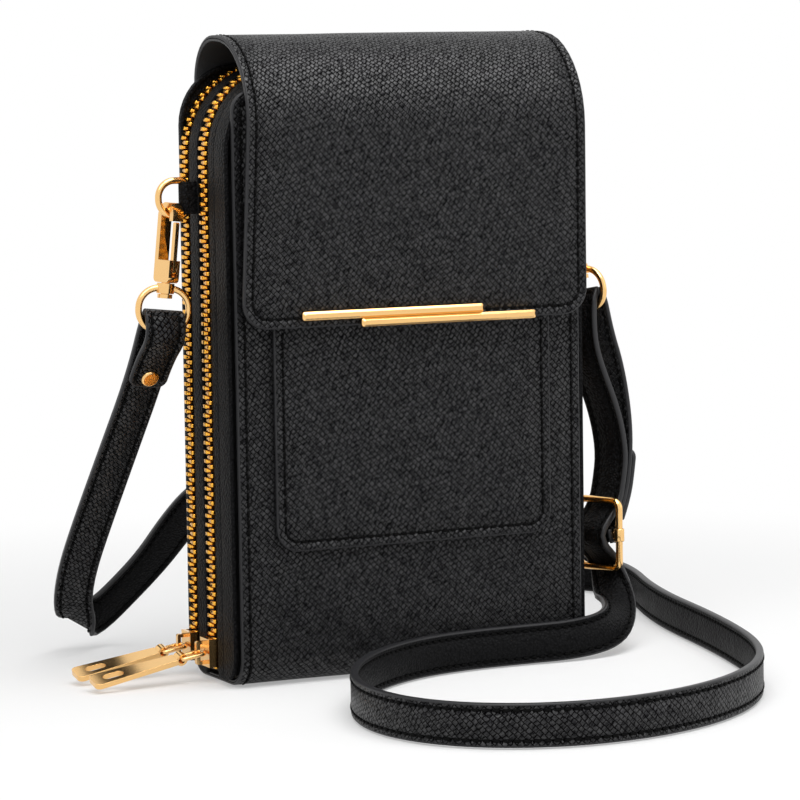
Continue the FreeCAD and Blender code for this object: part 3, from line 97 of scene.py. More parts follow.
# Route of the strap: a point in millimetres and the way its width points, from the left ring
# over the floor to the right ring
STRAP_ROUTE = [
    *stretch(LEFT_WAY, (-68.3, 6.1, 109.1), (-67.9, 8.5, 109.1)),
    ((-69.7, 18.2, 89.8), (0.97, 0.05, -0.15)),
    ((-73.9, 33.0, 64.6), (0.97, -0.05, -0.1)),
    ((-77.3, 46.4, 42.6), (0.95, -0.2, 0.0)),
    ((-79.2, 55.6, 27.4), (0.93, -0.15, -0.1)),
    ((-78.4, 63.0, 15.5), (0.88, 0.05, -0.3)),
    ((-74.0, 69.5, 9.4), (0.83, 0.1, -0.45)),
    ((-66.6, 72.8, 9.8), (0.8, 0.2, -0.5)),
    ((-58.8, 71.0, 17.0), (0.77, 0.25, -0.55)),
    ((-50.6, 65.2, 27.4), (0.74, 0.27, -0.6)),
    ((-46.0, 56.0, 38.6), (0.66, 0.27, -0.68)),
    ((-42.0, 44.4, 48.4), (0.52, 0.2, -0.8)),
    ((-34.0, 33.0, 56.0), (0.3, 0.1, -0.93)),
    ((-20.0, 23.6, 59.4), (0.1, 0.0, -0.99)),
    ((-3.0, 22.6, 57.2), (-0.05, 0.0, -0.99)),
    ((13.0, 29.6, 49.4), (-0.2, 0.0, -0.97)),
    ((26.0, 40.8, 36.0), (-0.3, 0.1, -0.93)),
    ((38.0, 56.6, 20.6), (-0.25, 0.1, -0.95)),
    ((52.0, 76.0, 9.4), (-0.1, 0.0, -0.99)),
    *stretch(
        DOWN_WAY,
        (69.0, 94.4, 6.3), (88.0, 105.0, 6.2), (106.0, 104.6, 6.2), (119.0, 95.4, 6.2),
        (122.6, 79.0, 6.2), (118.0, 58.4, 6.2), (109.0, 34.0, 6.2), (101.6, 6.6, 6.2),
        (96.4, -22.6, 6.2), (90.0, -51.0, 6.2), (82.0, -78.0, 6.2), (70.6, -101.0, 6.2),
        (55.0, -119.6, 6.2), (35.0, -133.6, 6.2), (12.6, -141.4, 6.2), (-10.6, -142.0, 6.2),
        (-30.4, -134.4, 6.2), (-43.8, -121.0, 6.2), (-50.0, -103.0, 6.2), (-48.6, -83.0, 6.2),
        (-40.0, -61.6, 6.2), (-24.4, -41.8, 6.2), (-4.6, -28.2, 6.2), (15.0, -23.4, 6.2),
        (34.0, -23.0, 6.2),
    ),
    ((52.0, -24.2, 6.4), (0.0, -0.05, -1.0)),
    ((66.4, -20.6, 8.0), (0.1, -0.35, -0.93)),
    ((74.0, -11.0, 12.4), (0.3, -0.75, -0.6)),
    ((76.2, -0.4, 18.4), (0.4, -0.9, -0.15)),
    *stretch(
        BUCKLE_WAY,
        (76.3, 2.1, 25.5), (68.2, -1.6, 32.3), (68.2, -1.6, 36.3), (76.3, 2.1, 43.1), (78.3, 3.0, 51.0),
        (79.4, 3.4, 58.0), (78.0, 2.8, 66.5), (74.7, 1.3, 75.5), (69.4, -1.0, 85.5),
    ),
    ((65.2, -2.9, 95.0), (0.404, -0.907, 0.1)),
    *stretch(RIGHT_WAY, (66.1, -1.5, 109.8), (68.3, -0.5, 109.8)),
]
# Routes of the folded left end under its rivet, the thinned right end and its sewn tip
PATCH_ROUTE = [
    *stretch(LEFT_WAY, (-68.3, 6.1, 109.1), (-68.7, 3.7, 109.1)),
    ((-68.6, 3.2, 101.5), (0.98, -0.1, -0.1)),
    ((-69.0, 12.6, 94.6), (0.97, 0.0, -0.1)),
    ((-69.9, 17.6, 86.6), (0.97, 0.05, -0.15)),
]
TAIL_ROUTE = [
    *stretch(RIGHT_WAY, (68.3, -0.5, 109.8), (70.5, 0.5, 109.8)),
    ((73.4, 0.8, 97.0), (0.404, -0.907, 0.1)),
    *stretch(
        BUCKLE_WAY,
        (77.5, 2.6, 88.0), (80.6, 4.0, 76.0), (82.0, 4.6, 64.0), (81.0, 4.2, 53.0), (78.9, 3.2, 45.0),
        (75.2, 1.6, 38.0), (75.2, 1.57, 32.25), (71.45, -0.1, 32.25), (71.45, -0.1, 36.2),
    ),
]
TAIL_TIP_ROUTE = stretch(
    BUCKLE_WAY, (77.3, 2.5, 38.4), (80.6, 4.0, 44.6), (82.6, 4.9, 52.8), (83.6, 5.3, 60.0)
)

# The gussets' outside, round the top of the compartments
BODY_TOP = 181.5 * MM
BODY_RADIUS = 26 * MM
# Spacing of the cuts along a band and along a panel, so that they can bend
BAND_STEP = 12 * MM
PANEL_STEP = 9 * MM

BAR_NODES = ["upper_bar", "lower_bar"]
GOLD_NODES = BAR_NODES + ["strap_rivet", "buckle_frame", "buckle_bar"]
GOLD_NODES += [f"{side}_{part}" for side in ("front", "rear") for part in ("zip_slider", "pull_link")]
SIDE_PARTS = ("d_ring", "hook", "hook_gate", "gate_pin", "swivel_post", "swivel_ring")
GOLD_NODES += [f"{side}_{part}" for side in ("left", "right") for part in SIDE_PARTS]
STEEL_NODES = ["flap_magnet", "panel_magnet", "left_gate_spring", "right_gate_spring"]


def linear(hex_colour):
    """The linear colour of an sRGB hex value such as #1a1a1c."""
    channels = [int(hex_colour[start:start + 2], 16) / 255 for start in (1, 3, 5)]
    return tuple(c / 12.92 if c <= 0.04045 else ((c + 0.055) / 1.055) ** 2.4 for c in channels)


def number(name, description, default, **measure):
    """A property that holds a number, with its unit or subtype."""
    return FloatProperty(name=name, description=description, default=default, **measure)


def length(name, description, default):
    """A property that holds a length."""
    return number(name, description, default, unit="LENGTH", precision=5)


def place(name, description, default):
    """A property that holds a place."""
    return FloatVectorProperty(name=name, description=description, default=default, unit="LENGTH")


def colour(name, description, hex_colour):
    """A property that holds a colour."""
    return FloatVectorProperty(
        name=name, description=description, default=linear(hex_colour), size=3, subtype="COLOR", min=0, max=1
    )


class LeatherSettings(bpy.types.PropertyGroup):
    """Leather with its grain and seams, and the cloth and board behind it."""

    crown: colour("Leather", "Raised cells of the embossed leather", "#18181a")
    # Colour of the pressed lines, darker than the leather: painted shade in the grooves
    painted_valley_shade: colour("Grain lines", "Pressed lines between the cells", "#050505")
    gusset: colour("Gusset", "Fine-grain leather of the gussets", "#0d0d0e")
    edge: colour("Edge", "Burnished edges", "#202022")
    thread: colour("Thread", "Sewing thread", "#030303")
    lining: colour("Lining", "Woven lining", "#141416")
    tape: colour("Zip tape", "Woven zip tape", "#101011")
    board: colour("Board", "Board in the base", "#5d5a55")
    grain_pitch: length("Grain pitch", "Spacing of the pressed lines", 1.4 * MM)
    rounding: length("Edge rounding", "Radius of a leather edge", 0.45 * MM)
    layer_gap: length("Layer gap", "Line between the two layers of an edge", 0.3 * MM)
    seam_inset: length("Seam inset", "Seam from the edge of a panel", 2.8 * MM)
    seam_width: length("Seam width", "Width of the pressed seam line", 1.1 * MM)
    seam_depth: length("Seam depth", "Depth of the pressed seam line", 0.6 * MM)
    stitch_pitch: length("Stitch pitch", "From one stitch to the next", 2.7 * MM)
    stitch_length: length("Stitch length", "Thread that shows of one stitch", 2.1 * MM)
    thread_width: length("Thread width", "Thickness of the thread", 0.9 * MM)
    softness: length("Softness", "How far the leather swells and sags", 0.2 * MM)
    softness_width: length("Softness width", "Size of the swells", 26 * MM)


class StrapSettings(bpy.types.PropertyGroup):
    """The strap and its ends."""

    width: length("Width", "Strap, edge to edge", 12 * MM)
    thickness: length("Thickness", "Strap", 2.2 * MM)
    end_thickness: length("End thickness", "Thinned ends of the strap", 1.6 * MM)
    cord_length: length("Length", "Strap from ring to ring", 1.05)
    corner_radius: length("Corners", "Corners of the patch and of the sewn tip", 3 * MM)
    rounding: length("Rounding", "Radius of the strap's edges", 0.6 * MM)
    seam_inset: length("Seam inset", "Seam from the edge of the strap", 1.9 * MM)
    section_step: length("Section step", "Spacing of the sections along the strap", 2.6 * MM)
    spline_steps: IntProperty(name="Spline steps", description="Points between two route points", default=14)


class ZipSettings(bpy.types.PropertyGroup):
    """Chains of the two zips."""

    pitch: length("Tooth pitch", "From one tooth to the next on one tape", 2.7 * MM)
    block_start: length("Block start", "Tooth block from the middle of the chain", 0.5 * MM)
    block_end: length("Block end", "Tooth block's far end from the middle of the chain", 2.8 * MM)
    nose_reach: length("Nose reach", "Tooth nose past the middle of the chain", 0.8 * MM)
    tooth_length: length("Tooth length", "One tooth along the chain", 1.1 * MM)
    tooth_low: length("Tooth foot", "Foot of a tooth above the tape", -0.2 * MM)
    tooth_high: length("Tooth top", "Top of a tooth above the tape", 1.5 * MM)
    tooth_bevel: length("Tooth bevel", "Worn edges of a tooth", 0.16 * MM)
    row_gap: length("Row gap", "Gap between the two tapes", 1.4 * MM)
    tape_thickness: length("Tape", "Thickness of the tape", 0.6 * MM)


class PullSettings(bpy.types.PropertyGroup):
    """Cast pull tabs of the zips."""

    tab_length: length("Length", "Pull from its link to its tip", 28 * MM)
    tip_width: length("Tip width", "Pull at its tip", 7.5 * MM)
    neck_width: length("Neck width", "Pull at its link", 4.4 * MM)
    thickness: length("Thickness", "Plate of the pull", 1.6 * MM)
    tip_radius: length("Tip corners", "Corners at the tip", 1.8 * MM)
    hole_length: length("Hole length", "Oval hole along the pull", 6.4 * MM)
    hole_width: length("Hole width", "Oval hole across the pull", 3.0 * MM)
    hole_inset: length("Hole inset", "Oval hole from the tip", 3.4 * MM)
    barrel_width: length("Barrel width", "Barrel round the link", 2.8 * MM)
    barrel_bore: length("Barrel bore", "Radius of the bore of the barrel", 1.1 * MM)
    barrel_wall: length("Barrel wall", "Wall of the barrel", 0.7 * MM)
    bevel: length("Bevel", "Polished rims of the pull", 0.3 * MM)
    roll: number("Roll", "How far the pulls lie over to the front", math.radians(15), subtype="ANGLE")


class MetalSettings(bpy.types.PropertyGroup):
    """Plated and plain metal."""

    gold: colour("Gold", "Pale gold plating", "#f4c684")
    steel: colour("Steel", "Magnets and springs", "#b9b6b0")
    brass: colour("Brass", "Teeth of the zips", "#f2b345")
    bevel: length("Bevel", "Polished edges of the castings", 0.28 * MM)
    bar_bevel: length("Bar bevel", "Polished edges of the two bars", 0.55 * MM)


class StageSettings(bpy.types.PropertyGroup):
    """Camera, floor and light."""

    camera_place: place("Camera", "Place of the camera", (-0.449797, -0.965093, 0.186933))
    camera_yaw: number("Yaw", "Camera turned to the right", 0.440475, subtype="ANGLE")
    camera_pitch: number("Pitch", "Camera turned down", 0.100078, subtype="ANGLE")
    camera_roll: number("Roll", "Camera turned about its view", -0.015191, subtype="ANGLE")
    lens: number("Lens", "Focal length", 160.12, subtype="DISTANCE_CAMERA")
    sensor: number("Sensor", "Width of the sensor", 36, subtype="DISTANCE_CAMERA")
    floor: colour("Floor", "Paper under the pouch", "#e7e7e7")
    floor_drop: length("Floor drop", "Floor below the pouch", 0.25 * MM)
    floor_reach: length("Floor reach", "Half the width of the floor", 1.8)
    sweep_radius: length("Sweep", "Bend of the paper up to its wall", 0.6)
    shadow_start: length("Shadow start", "Where the shadow starts to fade", 0.17)
    shadow_end: length("Shadow end", "Where the floor has faded to white", 0.38)
    glow_share: number("Glow", "Share of plain white in the paper", 0.35, subtype="FACTOR")
    sky_level: number("Room", "Light of the grey room", 0.33)
    aim_height: length("Aim", "Height that the soft boxes face", 95 * MM)
    key_power: number("Key", "Soft box over the left", 6.5, unit="POWER")
    key_place: place("Key place", "Soft box over the left", (-0.75, -0.75, 1.15))
    key_width: length("Key width", "Soft box over the left", 0.8)
    fill_power: number("Fill", "Soft box at the right", 1.5, unit="POWER")
    fill_place: place("Fill place", "Soft box at the right", (1.0, -0.8, 0.6))
    fill_width: length("Fill width", "Soft box at the right", 0.9)
    top_power: number("Top", "Soft box close above", 3.4, unit="POWER")
    top_place: place("Top place", "Soft box close above", (0.05, -0.2, 0.6))
    top_width: length("Top width", "Soft box close above", 0.5)


class PouchSettings(bpy.types.PropertyGroup):
    """All the settings of the pouch."""

    leather: PointerProperty(type=LeatherSettings)
    strap: PointerProperty(type=StrapSettings)
    zip: PointerProperty(type=ZipSettings)
    pull: PointerProperty(type=PullSettings)
    metal: PointerProperty(type=MetalSettings)
    stage: PointerProperty(type=StageSettings)


def pouch():
    """The settings of the scene's pouch."""
    return bpy.context.scene.pouch


def add_node(tree, kind, settings=(), links=(), feeds=()):
    """Adds a shader node and gives its outputs.

    Its properties or inputs are set, its inputs are linked, and its outputs feed other sockets.
    """
    node = tree.nodes.new("ShaderNode" + kind)
    for name, value in dict(settings).items():
        if isinstance(name, str) and hasattr(node, name):
            setattr(node, name, value)
        else:
            node.inputs[name].default_value = value
    for name, socket in dict(links).items():
        tree.links.new(socket, node.inputs[name])
    for name, socket in dict(feeds).items():
        tree.links.new(node.outputs[name], socket)
    return node.outputs


def new_material(name, colour_value, roughness, specular=0.5, metallic=0.0):
    """A material with one principled shader: the material, its nodes and the shader's inputs."""
    made = bpy.data.materials.new(name)
    made.use_nodes = True
    inputs = made.node_tree.nodes["Principled BSDF"].inputs
    inputs["Base Color"].default_value = (*colour_value, 1)
    inputs["Roughness"].default_value = roughness
    inputs["Specular IOR Level"].default_value = specular
    inputs["Metallic"].default_value = metallic
    return made, made.node_tree, inputs


def shades(colour_value, light_share, dark_share):
    """A lighter and a darker shade of a colour, by their shares of it."""
    return [(*(Vector(colour_value) * share), 1) for share in (light_share, dark_share)]


def uneven_gloss(tree, inputs, size, detail, least, most):
    """Patches of a size over which the roughness goes from its least to its most."""
    spot = add_node(tree, "TexCoord")["Object"]
    patches = add_node(tree, "TexNoise", {"Scale": 1 / size, "Detail": detail}, {"Vector": spot})["Fac"]
    ends = {"To Min": least, "To Max": most}
    add_node(tree, "MapRange", ends, {"Value": patches}, {"Result": inputs["Roughness"]})
    return patches


def embossed_leather(name):
    """Split leather under a polymer coat, hot pressed with a cross grain.

    It shows small dark cells between pressed lines, their coat broken into bright strokes. The pressed lines
    carry painted shade: a near-black colour and less sheen.
    """
    leather = pouch().leather
    made, tree, inputs = new_material(name, leather.crown, roughness=0.42, specular=0.4)
    wander_size = 4 * MM
    wander_share = 0.8
    press_depth = 0.3 * MM
    stroke_depth = 0.16 * MM
    strokes_per_cell = 2.2
    light, dark = shades(leather.crown, light_share=1.4, dark_share=0.6)
    cut = add_node(tree, "UVMap", {"uv_map": UV_NAME})["UV"]
    wander = add_node(
        tree, "TexNoise", {"Scale": 1 / wander_size, "Detail": 3, "Roughness": 0.6}, {"Vector": cut}
    )
    shifted = add_node(
        tree,
        "VectorMath",
        {"operation": "MULTIPLY_ADD", 1: (wander_share * leather.grain_pitch,) * 3},
        {0: wander["Color"], 2: cut},
    )
    turned = add_node(
        tree,
        "Mapping",
        {"Rotation": (0, 0, QUARTER_TURN / 2), "Scale": (1 / leather.grain_pitch,) * 3},
        {"Vector": shifted["Vector"]},
    )["Vector"]
    lines = add_node(
        tree,
        "TexBrick",
        {
            "offset": 0.35,
            "Scale": 1,
            "Color1": light,
            "Color2": dark,
            # The pressed lines get a near-black colour: painted shade in the grooves
            "Mortar": (*leather.painted_valley_shade, 1),
            "Mortar Size": 0.17,
            "Mortar Smooth": 0.92,
            "Brick Width": 1.05,
            "Row Height": 1,
        },
        {"Vector": turned},
        {"Color": inputs["Base Color"]},
    )["Fac"]
    stretched = add_node(tree, "Mapping", {"Scale": (strokes_per_cell, 1, 1)}, {"Vector": turned})
    strokes = add_node(
        tree, "TexNoise", {"Scale": 1, "Detail": 2, "Roughness": 0.6}, {"Vector": stretched["Vector"]}
    )["Fac"]
    bright = add_node(
        tree,
        "MapRange",
        {"From Min": 0.32, "From Max": 0.7, "To Min": 0.02, "To Max": 0.7},
        {"Value": strokes},
    )
    # Less specular in the pressed lines: painted shade standing in for the shade inside the grooves
    raised = add_node(tree, "MapRange", {"To Min": 1.0, "To Max": 0.08}, {"Value": lines})
    add_node(
        tree,
        "Math",
        {"operation": "MULTIPLY"},
        {0: bright["Result"], 1: raised["Result"]},
        {"Value": inputs["Specular IOR Level"]},
    )
    sheen = {"To Min": 0.3, "To Max": 0.54}
    add_node(tree, "MapRange", sheen, {"Value": strokes}, {"Result": inputs["Roughness"]})
    pressed = add_node(
        tree, "Bump", {"invert": True, "Strength": 1.0, "Distance": press_depth}, {"Height": lines}
    )
    add_node(
        tree,
        "Bump",
        {"Strength": 1.0, "Distance": stroke_depth},
        {"Height": strokes, "Normal": pressed["Normal"]},
        {"Normal": inputs["Normal"]},
    )
    return made


def gusset_leather(name):
    """Coated leather with a fine pebble grain: small soft grains, duller than the embossed panels, each
    grain with a painted lighter top and painted shade in the gaps between them.
    """
    leather = pouch().leather
    made, tree, inputs = new_material(name, leather.gusset, roughness=0.5, specular=0.06)
    pebble_size = 0.8 * MM
    pebble_height = 0.4 * MM
    cloud_size = 9 * MM
    # Lighter grain tops and darker gaps between the grains: painted light and shade
    light, dark = shades(leather.gusset, light_share=2.2, dark_share=0.2)
    uneven_gloss(tree, inputs, cloud_size, detail=3, least=0.42, most=0.6)
    spot = add_node(tree, "TexCoord")["Object"]
    pebbles = add_node(
        tree,
        "TexVoronoi",
        {"feature": "SMOOTH_F1", "Scale": 1 / pebble_size, "Smoothness": 0.5},
        {"Vector": spot},
    )["Distance"]
    add_node(
        tree, "Mix", {"data_type": "RGBA", 6: light, 7: dark}, {0: pebbles}, {2: inputs["Base Color"]}
    )
    add_node(
        tree,
        "Bump",
        {"invert": True, "Strength": 1.0, "Distance": pebble_height},
        {"Height": pebbles},
        {"Normal": inputs["Normal"]},
    )
    return made


def burnished_edge(name):
    """Folded and burnished leather edge: smooth, with a narrow highlight along it."""
    made, tree, inputs = new_material(name, pouch().leather.edge, roughness=0.4, specular=0.28)
    crease_size = 1.1 * MM
    crease_depth = 0.1 * MM
    creases = uneven_gloss(tree, inputs, crease_size, detail=3, least=0.32, most=0.5)
    relief = {"Strength": 0.25, "Distance": crease_depth}
    add_node(tree, "Bump", relief, {"Height": creases}, {"Normal": inputs["Normal"]})
    return made


def sewing_thread(name):
    """Twisted polyester thread: a dull sheen broken by the twist."""
    made, tree, inputs = new_material(name, pouch().leather.thread, roughness=0.7, specular=0.08)
    twist_per_radian = 0.45 * MM
    twist_depth = 0.1 * MM
    # A wave texture of scale 1 goes through this many radians in one unit
    wave_radians = 20
    spot = add_node(tree, "TexCoord")["Object"]
    leaning = {"Rotation": (0, QUARTER_TURN / 2, QUARTER_TURN / 2)}
    turned = add_node(tree, "Mapping", leaning, {"Vector": spot})
    twist = add_node(
        tree,
        "TexWave",
        {"Scale": 1 / (wave_radians * twist_per_radian), "Distortion": 1},
        {"Vector": turned["Vector"]},
    )
    relief = {"Strength": 0.5, "Distance": twist_depth}
    add_node(tree, "Bump", relief, {"Height": twist["Fac"]}, {"Normal": inputs["Normal"]})
    return made


def woven(name, colour_value, thread_pitch, roughness):
    """A plain weave with its threads along and across the cut, with painted shade darkening the gaps between
    the threads.
    """
    made, tree, inputs = new_material(name, colour_value, roughness)
    thread_height = 0.15 * MM
    light, dark = shades(colour_value, light_share=1, dark_share=1 / 3)
    cut = add_node(tree, "UVMap", {"uv_map": UV_NAME})["UV"]
    gaps = add_node(
        tree,
        "TexBrick",
        {
            "offset": 0.5,
            "Scale": 1 / thread_pitch,
            "Mortar Size": 0.22,
            "Mortar Smooth": 1,
            "Brick Width": 1,
            "Row Height": 0.5,
        },
        {"Vector": cut},
    )["Fac"]
    # The gaps between the threads get a third of the colour: painted shade
    add_node(tree, "Mix", {"data_type": "RGBA", 6: light, 7: dark}, {0: gaps}, {2: inputs["Base Color"]})
    relief = {"invert": True, "Strength": 0.6, "Distance": thread_height}
    add_node(tree, "Bump", relief, {"Height": gaps}, {"Normal": inputs["Normal"]})
    return made


def zip_tape(name):
    """Woven polyester tape: matt, with a fine rib."""
    rib_pitch = 0.8 * MM
    return woven(name, pouch().leather.tape, rib_pitch, roughness=0.8)


def lining_cloth(name):
    """Woven polyester lining: a close plain weave with a faint sheen."""
    thread_pitch = 0.6 * MM
    return woven(name, pouch().leather.lining, thread_pitch, roughness=0.65)


def polished(name, colour_value, mark_size, least, most):
    """A polished metal whose gloss is a little uneven."""
    made, tree, inputs = new_material(name, colour_value, least, metallic=1.0)
    uneven_gloss(tree, inputs, mark_size, detail=4, least=least, most=most)
    return made


def gold_plate(name):
    """Zinc casting, polished and plated pale gold: bright, with soft clear reflections."""
    mark_size = 4 * MM
    return polished(name, pouch().metal.gold, mark_size, least=0.13, most=0.23)


def tooth_brass(name):
    """Stamped and tumbled brass: deeper yellow than the plating, with small glints."""
    mark_size = 4 * MM
    return polished(name, pouch().metal.brass, mark_size, least=0.18, most=0.3)


def plain_steel(name):
    """Nickel-plated steel of magnets and springs: grey, satin, faintly scratched."""
    scratch_size = 0.8 * MM
    return polished(name, pouch().metal.steel, scratch_size, least=0.28, most=0.45)


def grey_board(name):
    """Pressed grey board: matt, with visible fibres."""
    made, tree, inputs = new_material(name, pouch().leather.board, roughness=0.9)
    fibre_size = 1.5 * MM
    fibre_depth = 0.1 * MM
    spot = add_node(tree, "TexCoord")["Object"]
    fibres = add_node(tree, "TexNoise", {"Scale": 1 / fibre_size, "Detail": 6}, {"Vector": spot})
    relief = {"Strength": 0.4, "Distance": fibre_depth}
    add_node(tree, "Bump", relief, {"Height": fibres["Fac"]}, {"Normal": inputs["Normal"]})
    return made


EMBOSSED = "Cross-grain embossed leather"
PEBBLED = "Fine-grain gusset leather"
BURNISHED = "Burnished leather edge"
SEWN = "Twisted sewing thread"
TAPE = "Woven zip tape"
LINING = "Woven lining"
GOLD = "Pale gold plated zinc"
BRASS = "Tumbled zip brass"
STEEL = "Nickel-plated steel"
BOARD = "Grey board"
FINISHES = {
    EMBOSSED: embossed_leather,
    PEBBLED: gusset_leather,
    BURNISHED: burnished_edge,
    SEWN: sewing_thread,
    TAPE: zip_tape,
    LINING: lining_cloth,
    GOLD: gold_plate,
    BRASS: tooth_brass,
    STEEL: plain_steel,
    BOARD: grey_board,
}
# Finishes of a piece in the order of its material slots
PANEL_FINISHES = [EMBOSSED, SEWN, BURNISHED, LINING]
GUSSET_FINISHES = [PEBBLED, SEWN, PEBBLED, LINING]
STRAP_FINISHES = [PEBBLED, SEWN, BURNISHED, EMBOSSED]
TAB_FINISHES = [PEBBLED, SEWN, PEBBLED, PEBBLED]
TAPE_FINISHES = [TAPE] * len(SLOTS)
CLOTH_FINISHES = [LINING] * len(SLOTS)


def material(name):
    """The named finish, made the first time it is asked for."""
    return bpy.data.materials.get(name) or FINISHES[name](name)


class Course:
    """A line that a flat blank is folded along, with the way across it at each of its points."""

    def __init__(self, points, acrosses):
        self.points = [Vector(point) for point in points]
        self.acrosses = [Vector(across).normalized() for across in acrosses]
        self.runs = [0.0]
        for start, end in zip(self.points, self.points[1:]):
            self.runs.append(self.runs[-1] + (end - start).length)
        self.length = self.runs[-1]
        ahead = self.points[1:] + self.points[-1:]
        behind = self.points[:1] + self.points[:-1]
        self.tangents = [(after - before).normalized() for before, after in zip(behind, ahead)]

    def frame(self, run):
        """The place at a run along the course: its axes point across, along and out."""
        index = min(max(bisect_right(self.runs, run) - 1, 0), len(self.points) - 2)
        share = (run - self.runs[index]) / (self.runs[index + 1] - self.runs[index])
        eased = min(max(share, 0), 1)
        along = self.tangents[index].lerp(self.tangents[index + 1], eased).normalized()
        across = self.acrosses[index].lerp(self.acrosses[index + 1], eased)
        out = across.cross(along).normalized()
        spot = Matrix((along.cross(out), along, out)).transposed().to_4x4()
        spot.translation = self.points[index].lerp(self.points[index + 1], share)
        return spot

    def stations(self, step):
        """Runs at which a blank is cut to follow the bends, and about every step on a straight."""
        found = []
        for start, end in zip(self.runs, self.runs[1:]):
            pieces = max(1, math.ceil((end - start) / step))
            found += [start + (end - start) * piece / pieces for piece in range(pieces)]
        return found[1:]


def folded_line(corners):
    """Points of a line through corners, each a point and the radius of its fold."""
    corners = [(Vector(point), radius) for point, radius in corners]
    points = [corners[0][0]]
    for (before, _), (corner, radius), (after, _) in zip(corners, corners[1:], corners[2:]):
        arriving = (corner - before).normalized()
        leaving = (after - corner).normalized()
        turn = arriving.angle(leaving)
        inwards = (leaving - arriving * leaving.dot(arriving)).normalized()
        start = corner - arriving * (radius * math.tan(turn / 2))
        steps = max(2, math.ceil(turn / ARC_STEP))
        for step in range(steps + 1):
            angle = turn * step / steps
            sideways = inwards * (radius * (1 - math.cos(angle)))
            points.append(start + arriving * (radius * math.sin(angle)) + sideways)
    points.append(corners[-1][0])
    return points


def level_course(corners, across):
    """A course through folded corners with one way across."""
    points = folded_line(corners)
    return Course(points, [across] * len(points))


def verts_of(made):
    """The vertices among what a mesh operator made."""
    return [item for item in made["geom"] if isinstance(item, bmesh.types.BMVert)]


def bevel(bm, geom, width, segments, affect="EDGES", clamp=False):
    """Rounds edges or corners of a bmesh."""
    bmesh.ops.bevel(
        bm,
        geom=geom,
        offset=width,
        offset_type="OFFSET",
        segments=segments,
        profile=0.5,
        affect=affect,
        material=-1,
        clamp_overlap=clamp,
    )


def round_edges(bm, width, segments, clamp=False):
    """Rounds the edges at which a solid turns sharply."""
    edges = [edge for edge in bm.edges if edge.calc_face_angle() > SHARP_TURN]
    bevel(bm, edges, width, segments, clamp=clamp)


def rectangle(half_width, half_length, middle):
    """A flat rectangle about its middle."""
    bm = bmesh.new()
    bmesh.ops.create_grid(bm, x_segments=1, y_segments=1, size=1)
    bmesh.ops.scale(bm, vec=(half_width, half_length, 1), verts=bm.verts[:])
    bmesh.ops.translate(bm, vec=middle, verts=bm.verts[:])
    return bm


def thicken(bm, thickness):
    """Makes a solid of a flat sheet, upwards from it."""
    lifted = verts_of(bmesh.ops.extrude_face_region(bm, geom=bm.faces[:]))
    bmesh.ops.translate(bm, vec=(0, 0, thickness), verts=lifted)
    bmesh.ops.recalc_face_normals(bm, faces=bm.faces[:])


def cut_blank(half, blank_length, thickness, rounding, start_radii=(0, 0), end_radii=(0, 0)):
    """A flat blank from y = 0 to its length, its outside on z = 0, with rounded corners and edges.

    The radii are those of its corners at -x and +x.
    """
    corner_segments = 8
    edge_segments = 3
    bm = rectangle(half, blank_length / 2, (0, blank_length / 2, -thickness))
    for corner in bm.verts[:]:
        radii = start_radii if corner.co.y < blank_length / 2 else end_radii
        radius = radii[0] if corner.co.x < 0 else radii[1]
        if radius:
            bevel(bm, [corner], radius, corner_segments, "VERTICES")
    thicken(bm, thickness)
    round_edges(bm, rounding, edge_segments)
    bm.normal_update()
    for face in bm.faces:
        up = face.normal.z
        face.material_index = OUTSIDE if up > ALONG_SHARE else INSIDE if up < -ALONG_SHARE else EDGE
    return bm


def face_of(bm, side):
    """The large flat face of a blank, on its outside (1) or its inside (-1)."""
    return max(bm.faces, key=lambda face: side * face.normal.z * face.calc_area())


def inset_face(bm, face, across, down=0):
    """Draws a face in, moves it up or down, and gives the ring of faces round it."""
    made = bmesh.ops.inset_region(
        bm, faces=[face], thickness=across, depth=down, use_boundary=True, use_even_offset=True
    )
    return made["faces"]


def press_seam(bm, side, inset):
    """Presses a seam line into one side of a blank, at an inset from the flat face's edge."""
    leather = pouch().leather
    half = leather.seam_width / 2
    depth = leather.seam_depth
    pressed = face_of(bm, side)
    for across, down in ((inset - half, 0), (half, -depth), (half, depth)):
        inset_face(bm, pressed, across, down)


def cut_at(bm, point, way):
    """Cuts the faces of a bmesh by a plane."""
    whole = bm.verts[:] + bm.edges[:] + bm.faces[:]
    bmesh.ops.bisect_plane(bm, geom=whole, dist=CUT_REACH, plane_co=point, plane_no=way)


def part_layers(bm, level, width, depth):
    """Presses the line between two layers into the rim of a blank."""
    for height in (level - width / 2, level, level + width / 2):
        cut_at(bm, Z_WAY * height, Z_WAY)
    bm.normal_update()
    for vert in bm.verts:
        if abs(vert.co.z - level) < CUT_REACH:
            vert.co -= vert.normal * depth


def cut_through(bm, runs, half=0, columns=1):
    """Cuts a blank across at runs and along into columns, so that it can fold and swell."""
    for run in runs:
        cut_at(bm, Y_WAY * run, Y_WAY)
    for column in range(1, columns):
        cut_at(bm, X_WAY * (half * (2 * column / columns - 1)), X_WAY)


def seam_ring(half, blank_length, inset, start_radius, end_radius, height):
    """The line of a seam all the way round a blank."""
    side = half - inset
    low = inset
    high = blank_length - inset
    least = 0.3 * MM
    start_fold = max(start_radius - inset, least)
    end_fold = max(end_radius - inset, least)
    corners = [
        ((0, low, height), 0),
        ((side, low, height), start_fold),
        ((side, high, height), end_fold),
        ((-side, high, height), end_fold),
        ((-side, low, height), start_fold),
        ((0, low, height), 0),
    ]
    return level_course(corners, Z_WAY)


def pull_out(bm, faces, way):
    """Moves faces of a solid along a way, on new walls."""
    moved = verts_of(bmesh.ops.extrude_face_region(bm, geom=faces))
    bmesh.ops.translate(bm, vec=way, verts=moved)
    bmesh.ops.delete(bm, geom=faces, context="FACES")


